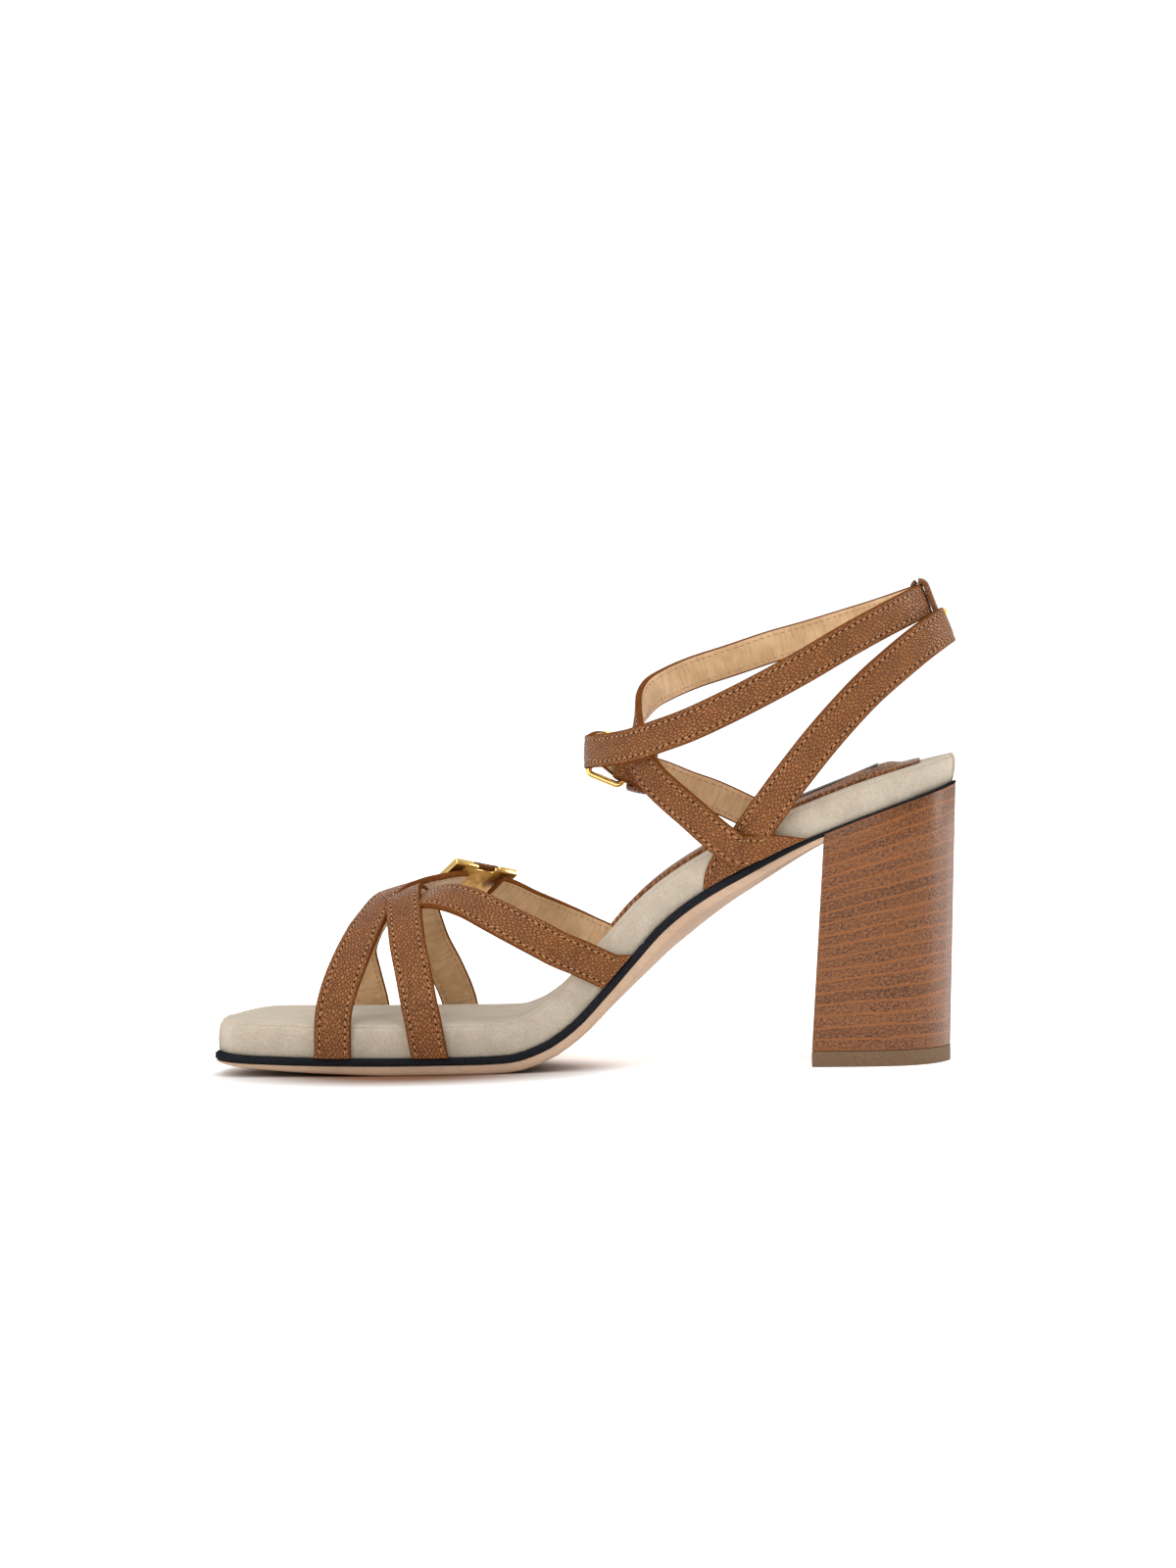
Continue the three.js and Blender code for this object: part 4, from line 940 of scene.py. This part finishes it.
FINE = 1.6
vamp_lines = {
    "front": StrapLine([*strap_foot(FRONT_FOOT, MEDIAL), *strap_points(FRONT_STRAP, VAMP_HEIGHT),
                        *reversed(strap_foot(OUTER_FOOT, LATERAL, 0.022))], front_outward),
    "middle": StrapLine([*strap_foot(MIDDLE_FEET[0], MEDIAL, 0.004), *strap_points(MIDDLE_STRAP, VAMP_HEIGHT),
                         *reversed(strap_foot(MIDDLE_FEET[1], LATERAL, 0.004))], vamp_outward),
    "rear": StrapLine([*strap_foot(REAR_FEET[0], MEDIAL, 0.012), *strap_points(REAR_STRAP, VAMP_HEIGHT),
                       *reversed(strap_foot(REAR_FEET[1], LATERAL))], vamp_outward),
}
front_line = vamp_lines["front"]
clasp_steps = [front_line.length * i / 44 for i in range(45)]
clasp_at = next(s for s in clasp_steps if front_line.at(s)[0].z > VAMP_HEIGHT / 2
                and front_line.at(s)[0].x > TOE_TIP + CLASP_AT * FOOT_LENGTH)
CLASP_LENGTH, CLASP_WIDTH, CLASP_THICKNESS, CLASP_GRIP = 23.0, 13.0, 2.2, 5.0
clasp_frame = front_line.at(clasp_at)
front_end = clasp_at - (CLASP_LENGTH / 2 - CLASP_GRIP)
outer_start = clasp_at + (CLASP_LENGTH / 2 - CLASP_GRIP)
FOOT_CUT = 0.2


def make_vamp():
    front = strap(front_line.frames(end=front_end), VAMP_WIDTH)
    cut_below(front, FRONT_FOOT, MEDIAL, FOOT_CUT)
    finish_strap(front, "front_strap", ["vamp_straps"])
    outer = strap(front_line.frames(outer_start), VAMP_WIDTH)
    cut_below(outer, OUTER_FOOT, LATERAL, FOOT_CUT)
    finish_strap(outer, "outer_strap", ["vamp_outer_strap"])
    for name, (medial, lateral) in (("middle", MIDDLE_FEET), ("rear", REAR_FEET)):
        line = vamp_lines[name]
        band = strap(line.frames(), VAMP_WIDTH)
        cut_below(band, medial, MEDIAL, FOOT_CUT)
        cut_below(band, lateral, LATERAL, FOOT_CUT)
        finish_strap(band, name + "_strap", ["vamp_straps"])


# The ankle: buckle strap with its end folded round the hinge bar, heel strap, and the long strap round the ankle

BUCKLE_LENGTH, BUCKLE_WIDTH, BUCKLE_WIRE, BUCKLE_LEAN = 13.0, 15.5, 2.0, 3.4
PRONG_WIRE, PRONG_TIP, FOLD_LENGTH, FOLD_ANGLE = 1.5, 1.2, 9.0, 0.3
buckle_line = StrapLine([*strap_foot(BUCKLE_FOOT, LATERAL, 0.02, CROSSING_LIFT),
                         *strap_points(BUCKLE_STRAP, ANKLE_HEIGHT)], ankle_outward)
end_p, end_t, end_n, end_w = buckle_line.at(buckle_line.length)
OVER_BAR = BUCKLE_WIRE / 2 + SEAM + STRAP_THICKNESS / 2
HINGE_TURN = math.radians(9)
hinge_p, hinge_n = end_p - end_n * OVER_BAR, end_n
hinge_x = -end_t * math.cos(HINGE_TURN) - end_w * math.sin(HINGE_TURN)
hinge_w = hinge_n.cross(hinge_x)
HINGE = hinge_p, hinge_x, hinge_n, hinge_w


def in_hinge(x, y, z):
    """A place by the hinge bar: x back along the buckle strap, y across it, z outwards."""
    return hinge_p + hinge_x * x + hinge_w * y + hinge_n * z


BAR_SPAN = BUCKLE_LENGTH - BUCKLE_WIRE
BAR_LEVEL = math.sqrt(BAR_SPAN ** 2 - BUCKLE_LEAN ** 2)
TAIL_OFFSET = STRAP_THICKNESS + SEAM
tail_rows = [row for row in reversed(BUCKLE_STRAP[:-1]) if row[0] < TIP_AT]
tail_points = [p + ankle_outward(p) * TAIL_OFFSET for p in strap_points(tail_rows, ANKLE_HEIGHT)]
inner_side = [(at, -across, up) for at, across, up in HEEL_STRAP]
heel_line = StrapLine([*strap_foot(HEEL_FEET, MEDIAL, -0.014, -0.7),
                       *strap_points([*inner_side, HEEL_STRAP_BACK, *reversed(HEEL_STRAP)], ANKLE_HEIGHT),
                       *reversed(strap_foot(HEEL_FEET, LATERAL, -0.014, -0.7))], ankle_outward)
ankle_line = StrapLine([*strap_foot(ANKLE_FOOT, MEDIAL, 0.035, 1.9),
                        on_last(0.722, -medial_at(0.722) - CROSSING_OUT, VAMP_WIDTH / 2),
                        *strap_points(ANKLE_STRAP, ANKLE_HEIGHT),
                        in_hinge(-BAR_LEVEL, -1.6, BUCKLE_LEAN - OVER_BAR - SEAM),
                        in_hinge(1, -0.9, OVER_BAR + TAIL_OFFSET + SEAM), *tail_points], ankle_outward)


def folded_end():
    """Frames of the buckle strap's end: round the hinge bar and back under the strap."""
    frames, s = [], buckle_line.length
    for i in range(1, 13):
        turn = math.pi / 2 + (math.pi + FOLD_ANGLE) * i / 12
        facing = hinge_x * math.cos(turn) + hinge_n * math.sin(turn)
        direction = hinge_x * -math.sin(turn) + hinge_n * math.cos(turn)
        p = hinge_p + facing * OVER_BAR
        frames.append((s + OVER_BAR * (turn - math.pi / 2), p, direction, facing, facing.cross(direction)))
    s, p, direction, facing, across = frames[-1]
    for step in (FOLD_LENGTH * 0.35, FOLD_LENGTH * 0.7, FOLD_LENGTH):
        frames.append((s + step, p + direction * step, direction, facing, across))
    return frames


def make_ankle():
    buckle_band = strap(buckle_line.frames() + folded_end(), ANKLE_WIDTH)
    cut_below(buckle_band, BUCKLE_FOOT, LATERAL, FOOT_CUT)
    finish_strap(buckle_band, "buckle_strap_leather", ["buckle_strap"])
    heel_band = strap(heel_line.frames(), VAMP_WIDTH)
    for side in (MEDIAL, LATERAL):
        cut_below(heel_band, HEEL_FEET, side, FOOT_CUT)
    finish_strap(heel_band, "heel_strap", ["ankle_straps"])
    ankle_band = strap(ankle_line.frames(), ANKLE_WIDTH, round_end=7.0)
    cut_below(ankle_band, ANKLE_FOOT, MEDIAL, FOOT_CUT)
    finish_strap(ankle_band, "ankle_strap", ["ankle_straps"])


# Stitches: one stitch, modelled once and copied along the straps' edges, outside and inside

STITCH_PITCH, STITCH_HALF, STITCH_SLANT = 2.2, (0.72, 0.19, 0.16), 0.16
HOLE_HALF = (0.42, 0.3, 0.1)
STITCH_INSET = 1.65


def small_ball(half, segments, rings):
    """A ball drawn out to the given half sizes, as corners and faces to be copied."""
    select_nothing()
    bpy.ops.mesh.primitive_uv_sphere_add(segments=segments, ring_count=rings, radius=1)
    ball = bpy.context.object
    edit_all(ball)
    bpy.ops.transform.rotate(value=math.pi / 2, orient_axis="Y", center_override=(0, 0, 0))
    bpy.ops.transform.resize(value=half)
    done()
    corners = [v.co.copy() for v in ball.data.vertices]
    faces = [tuple(f.vertices) for f in ball.data.polygons]
    bpy.data.objects.remove(ball)
    return corners, faces


def above_board(p):
    at = share_of(p.x)
    return (p - on_last(at, p.y, 0)).dot(last_normal(at))


def make_stitches(runs, name):
    """runs: strap line, distance across, side that shows (1 outside, -1 inside), start and end along it. Outside,
    a dark patch, painted shade for the needle hole, lies between two stitches."""
    thread, hole = small_ball(STITCH_HALF, 6, 4), small_ball(HOLE_HALF, 6, 3)
    points, made, kinds = [], [], []

    def copy(shape, kind, centre, t, n, w):
        base = len(points)
        points.extend((centre + t * c.x + w * c.y + n * c.z) * MM for c in shape[0])
        made.extend(tuple(base + v for v in f) for f in shape[1])
        kinds.extend([kind] * len(shape[1]))

    for line, across, side, start, end in runs:
        for k in range(int((end - start) / STITCH_PITCH)):
            s = start + (k + 0.5) * STITCH_PITCH
            p, t, n, w = line.at(s)
            if above_board(p + w * across) < 1.2:
                continue
            slant = STITCH_SLANT + 0.06 * math.sin(12.9898 * (s + 7 * across))
            level = side * (STRAP_THICKNESS / 2 - (0.12 if side > 0 else 0.0))
            copy(thread, 0, p + w * across + n * level, t + w * slant, n, w - t * slant)
            if side > 0:
                p, t, n, w = line.at(s + STITCH_PITCH / 2)
                copy(hole, 1, p + w * across + n * (level + 0.03), t + w * slant, n, w - t * slant)
    mesh = bpy.data.meshes.new(name)
    mesh.from_pydata(points, [], made)
    for face, kind in zip(mesh.polygons, kinds):
        face.material_index = kind
    return finish_piece(put_in_scene(name, mesh), name, [THREAD, HOLE_SHADE], angle=80)


def both_edges(line, width, start, end):
    inset = width / 2 - STITCH_INSET
    return [(line, across, side, start, end) for across in (-inset, inset) for side in (1, -1)]


def make_all_stitches():
    runs = both_edges(front_line, VAMP_WIDTH, 5, front_end - 1)
    runs += both_edges(front_line, VAMP_WIDTH, outer_start + 1, front_line.length - 5)
    for name in ("middle", "rear"):
        runs += both_edges(vamp_lines[name], VAMP_WIDTH, 5, vamp_lines[name].length - 5)
    make_stitches(runs, "vamp_stitches")
    runs = both_edges(heel_line, VAMP_WIDTH, 5, heel_line.length - 5)
    runs += both_edges(ankle_line, ANKLE_WIDTH, 12, ankle_line.length - 7)
    runs += both_edges(buckle_line, ANKLE_WIDTH, 8, buckle_line.length - 1)
    make_stitches(runs, "ankle_stitches")
    around = [mix(SOCK_SPAN[0] + 0.045, SOCK_SPAN[1] - 0.06, i / 40) for i in range(41)]
    height = SOCK_THICKNESS - STRAP_THICKNESS / 2 + 0.22
    runs = []
    for side in (MEDIAL, LATERAL):
        inset = SOCK_EDGE + 1.9
        points = [on_last(at, side * shrink(edge_at(at, side), inset), sock_base(at) + height) for at in around]
        line = StrapLine(points, lambda p: last_normal(share_of(p.x)))
        runs.append((line, 0, 1, 0, line.length))
    make_stitches(runs, "sock_stitches")


# Metal and small leather

def in_frame(obj, p, t, n, w, offset=0.0):
    """Places a piece modelled round the origin, in millimetres: x along the strap, y across it, z outwards."""
    turn = Matrix((t, w, n)).transposed().to_4x4()
    obj.data.transform(Matrix.Scale(MM, 4) @ Matrix.Translation(p + n * offset) @ turn)
    turn_outwards(obj)
    return obj


def block(size, bevel):
    select_nothing()
    bpy.ops.mesh.primitive_cube_add(size=1)
    made = bpy.context.object
    edit_all(made)
    bpy.ops.transform.resize(value=size)
    if bevel:
        bpy.ops.mesh.bevel(offset=bevel, segments=3, affect="EDGES")
    done()
    return made


def cut_with(obj, tool):
    add_modifier(obj, "BOOLEAN", object=tool, operation="DIFFERENCE", solver="EXACT")
    bpy.data.objects.remove(tool)
    return obj


def moved(obj, offset):
    obj.data.transform(Matrix.Translation(Vector(offset)))
    return obj


def make_clasp():
    p, t, n, w = clasp_frame
    lift = STRAP_THICKNESS / 2 + SEAM + CLASP_THICKNESS / 2
    plate = block((CLASP_LENGTH, CLASP_WIDTH, CLASP_THICKNESS), 0)
    cut_with(plate, moved(block((6.0, 3.4, CLASP_THICKNESS * 2), 0), (0, -CLASP_WIDTH / 2, 0)))
    cut_with(plate, moved(block((9.6, CLASP_WIDTH * 2, 1.8), 0), (0, 0, CLASP_THICKNESS / 2)))
    add_modifier(plate, "BEVEL", width=0.35, segments=3, limit_method="ANGLE")
    in_frame(plate, p, t, n, w, lift)
    for face in plate.data.polygons:
        # Faces turned towards the strap take the darker gold, painted shade under the plate.
        face.material_index = int(face.normal.dot(n) < -0.9)
    finish_piece(plate, "clasp_plate", [GOLD, DULL_SHADED_GOLD], ["clasp"], angle=35)
    inlay = block((9.0, CLASP_WIDTH - 0.2, 0.75), 0.25)
    for v in inlay.data.vertices:
        v.co.z += 0.12 * (1 - (2 * v.co.y / CLASP_WIDTH) ** 2)
    in_frame(inlay, p, t, n, w, lift + CLASP_THICKNESS / 2 - 0.38)
    layer = inlay.data.uv_layers.active or inlay.data.uv_layers.new(name="UVMap")
    for loop in inlay.data.loops:
        d = inlay.data.vertices[loop.vertex_index].co / MM - p
        layer.data[loop.index].uv = (d.dot(t), d.dot(w))
    finish_piece(inlay, "clasp_leather", [SOCK_LEATHER], ["clasp_inlay"])


def rounded_loop(length, width, radius):
    points, steps = [], 5
    for corner, (sx, sy) in enumerate(((1, 1), (-1, 1), (-1, -1), (1, -1))):
        for i in range(steps + 1):
            turn = math.pi / 2 * (corner + i / steps)
            points.append(Vector((sx * (length / 2 - radius) + radius * math.cos(turn),
                                  sy * (width / 2 - radius) + radius * math.sin(turn), 0)))
    return points


def swept(loop, section):
    """A closed rail with a section swept along it; the section's first number points out of the loop."""
    rings, marks, gone = [], [], 0.0
    n = len(loop)
    for k in range(n + 1):
        a, b, c = loop[(k - 1) % n], loop[k % n], loop[(k + 1) % n]
        direction = (c - a).normalized()
        out = direction.cross(Vector((0, 0, 1)))
        rings.append([b + out * u + Vector((0, 0, v)) for u, v in section])
        marks.append([(gone, 2.0 * j) for j in range(len(section))])
        gone += (c - b).length
    obj = laid_grid(rings, marks, close_ends=False)
    obj.data.transform(Matrix.Scale(1 / MM, 4))
    return obj


def make_buckle():
    turns = [2 * math.pi * i / 12 for i in range(13)]
    wire = [(BUCKLE_WIRE / 2 * math.cos(turn), BUCKLE_WIRE / 2 * math.sin(turn)) for turn in turns]
    rail = rounded_loop(BAR_SPAN, BUCKLE_WIDTH - BUCKLE_WIRE, 1.7)
    ring = swept(rail, wire)
    lean = math.asin(BUCKLE_LEAN / BAR_SPAN)
    ring.data.transform(Matrix.Rotation(lean, 4, "Y") @ Matrix.Translation((-BAR_SPAN / 2, 0, 0)))
    in_frame(ring, *HINGE)
    finish_piece(ring, "buckle_frame", [GOLD], ["buckle"], angle=60)
    lift = BUCKLE_WIRE / 2 + SEAM + PRONG_WIRE / 2
    select_nothing()
    bpy.ops.mesh.primitive_cylinder_add(vertices=14, radius=PRONG_WIRE / 2, depth=BAR_SPAN + PRONG_TIP)
    prong = bpy.context.object
    edit_all(prong)
    bpy.ops.mesh.bevel(offset=0.45, segments=3, affect="EDGES", clamp_overlap=True)
    done()
    prong.data.transform(Matrix.Rotation(lean, 4, "Y") @ Matrix.Translation((-(BAR_SPAN + PRONG_TIP) / 2, 0, lift))
                         @ Matrix.Rotation(math.pi / 2, 4, "Y"))
    in_frame(prong, *HINGE)
    finish_piece(prong, "buckle_prong", [GOLD], ["prong"], angle=50)
    select_nothing()
    bpy.ops.mesh.primitive_torus_add(major_radius=(BUCKLE_WIRE / 2 + SEAM + lift + PRONG_WIRE / 2) / 2,
                                     minor_radius=0.68, major_segments=24, minor_segments=10)
    eye = bpy.context.object
    eye.data.transform(Matrix.Rotation(math.pi / 2, 4, "X"))
    in_frame(eye, *HINGE)
    finish_piece(eye, "prong_eye", [GOLD], ["prong"], angle=60)


def band_section(half_width, thickness):
    r = 0.3
    return [(0, -half_width + r), (r, -half_width), (thickness - r, -half_width), (thickness, -half_width + r),
            (thickness + 0.08, 0), (thickness, half_width - r), (thickness - r, half_width), (r, half_width),
            (0, half_width - r), (0, -half_width + r)]


KEEPER_PLAY, KEEPER_WALL, KEEPER_WIDTH, KEEPER_BEHIND = 0.35, 1.5, 5.0, 6.5


def make_buckle_keeper():
    p, t, n, w = buckle_line.at(buckle_line.length - KEEPER_BEHIND)
    height = STRAP_THICKNESS + TAIL_OFFSET + 2 * KEEPER_PLAY
    loop = rounded_loop(height, ANKLE_WIDTH + 2 * KEEPER_PLAY, 0.5)
    ring = swept(loop, band_section(KEEPER_WIDTH / 2, KEEPER_WALL))
    ring.data.transform(Matrix.Translation((0, 0, TAIL_OFFSET / 2)) @ Matrix.Rotation(-math.pi / 2, 4, "Y"))
    in_frame(ring, p, t, n, w)
    finish_piece(ring, "buckle_keeper_leather", [SOCK_LEATHER], ["buckle_keeper"], angle=60)


def farthest_back(line):
    steps = [line.length * i / 400 for i in range(401)]
    return line.at(max(steps, key=lambda k: line.at(k)[0].x))


def make_back_keeper():
    """A narrow loop round the ankle strap; its lower end is sewn inside the heel strap, behind a small stud."""
    p, t, n, w = farthest_back(ankle_line)
    loop = rounded_loop(STRAP_THICKNESS + 2 * KEEPER_PLAY, ANKLE_WIDTH + 2 * KEEPER_PLAY + 4.5, 1.6)
    ring = swept(loop, band_section(2.2, KEEPER_WALL))
    ring.data.transform(Matrix.Translation((0, 2.2, 0)) @ Matrix.Rotation(-math.pi / 2, 4, "Y"))
    in_frame(ring, p, t, n, w)
    finish_piece(ring, "back_keeper_leather", [SOCK_LEATHER], ["back_keeper"], angle=60)
    select_nothing()
    bpy.ops.mesh.primitive_uv_sphere_add(segments=20, ring_count=12, radius=1.3)
    stud = bpy.context.object
    stud.data.transform(Matrix.Translation((0, 4.0, STRAP_THICKNESS / 2 + 0.1)) @ Matrix.Diagonal((1, 1, 0.6, 1)))
    in_frame(stud, *farthest_back(heel_line))
    finish_piece(stud, "keeper_stud", [GOLD], ["stud"], angle=60)


# Studio: pale floor, a pale sky and soft lamps

def make_studio():
    select_nothing()
    bpy.ops.mesh.primitive_plane_add(size=12, location=(0, 0, 0))
    floor = bpy.context.object
    floor.name = "floor"
    made, tree, bsdf = shader("pale_floor", (0.9, 0.9, 0.9), 1.0, Specular_IOR_Level=0.0)
    place = place_of(tree)
    # Painted shadow: a warm brown patch in the floor's colour, darkest just under the toe and ball, fading outwards.
    off = node(tree, "ShaderNodeVectorMath", {0: place, 1: (-0.143, -0.03, 0.0)}, operation="SUBTRACT").outputs[0]
    off = node(tree, "ShaderNodeVectorMath", {0: off, 1: (15.0, 19.0, 0.0)}, operation="MULTIPLY").outputs[0]
    near = node(tree, "ShaderNodeVectorMath", {0: off}, operation="LENGTH").outputs["Value"]
    under = ramp(tree, near, 1.0, 0.25, 0.0, 0.97)
    feed(bsdf, "Base Color", blend(tree, under, (0.9, 0.9, 0.9), (0.2, 0.09, 0.04)))
    # Painted light: away from the toe the floor glows, which brightens it and washes out the shoe's shadow on it.
    far = ramp(tree, near, 0.75, 1.2)
    feed(bsdf, "Emission Color", blend(tree, far, (0, 0, 0), (1, 1, 1)))
    bsdf.inputs["Emission Strength"].default_value = 0.5
    floor.data.materials.append(made)
    world = bpy.data.worlds.new("studio")
    world.use_nodes = True
    bpy.context.scene.world = world
    tree = world.node_tree
    tree.nodes.clear()
    seen = node(tree, "ShaderNodeBackground", {"Color": (1, 1, 1, 1), "Strength": 1.15})
    given = node(tree, "ShaderNodeBackground", {"Color": (0.97, 0.985, 1, 1), "Strength": 0.62})
    path = node(tree, "ShaderNodeLightPath")
    both = node(tree, "ShaderNodeMixShader",
                {0: path.outputs["Is Camera Ray"], 1: given.outputs[0], 2: seen.outputs[0]})
    node(tree, "ShaderNodeOutputWorld", {"Surface": both.outputs[0]})
    lamps = [("top", (-0.05, -0.25, 1.5), 1.6, 1.6, 14, (1, 0.985, 0.96)),
             ("front", (-0.6, -1.5, 0.75), 1.1, 0.9, 9, (1, 0.98, 0.95)),
             ("right", (1.3, 0.42, 0.5), 0.5, 1.2, 10, (1, 0.98, 0.95)),
             ("left", (-1.35, -0.45, 0.6), 0.8, 1.0, 3, (1, 0.98, 0.96)),
             ("back", (0.1, 1.4, 0.9), 1.8, 1.0, 8, (0.97, 0.985, 1))]
    for name, place, width, height, power, color in lamps:
        data = bpy.data.lights.new(name, "AREA")
        data.shape = "RECTANGLE"
        data.size, data.size_y = width, height
        data.energy = power
        data.color = color
        lamp = put_in_scene(name, data)
        aim = Vector((-0.09, 0, 0.06)) - Vector(place)
        lamp.matrix_world = Matrix.Translation(place) @ aim.to_track_quat("-Z", "Y").to_matrix().to_4x4()
    settings = bpy.context.scene.view_settings
    settings.view_transform = "Standard"
    settings.look = "None"


make_board()
make_outsole()
make_footbed()
make_sock()
make_label()
make_heel()
make_top_piece()
make_vamp()
make_ankle()
make_all_stitches()
make_clasp()
make_buckle()
make_buckle_keeper()
make_back_keeper()
make_studio()
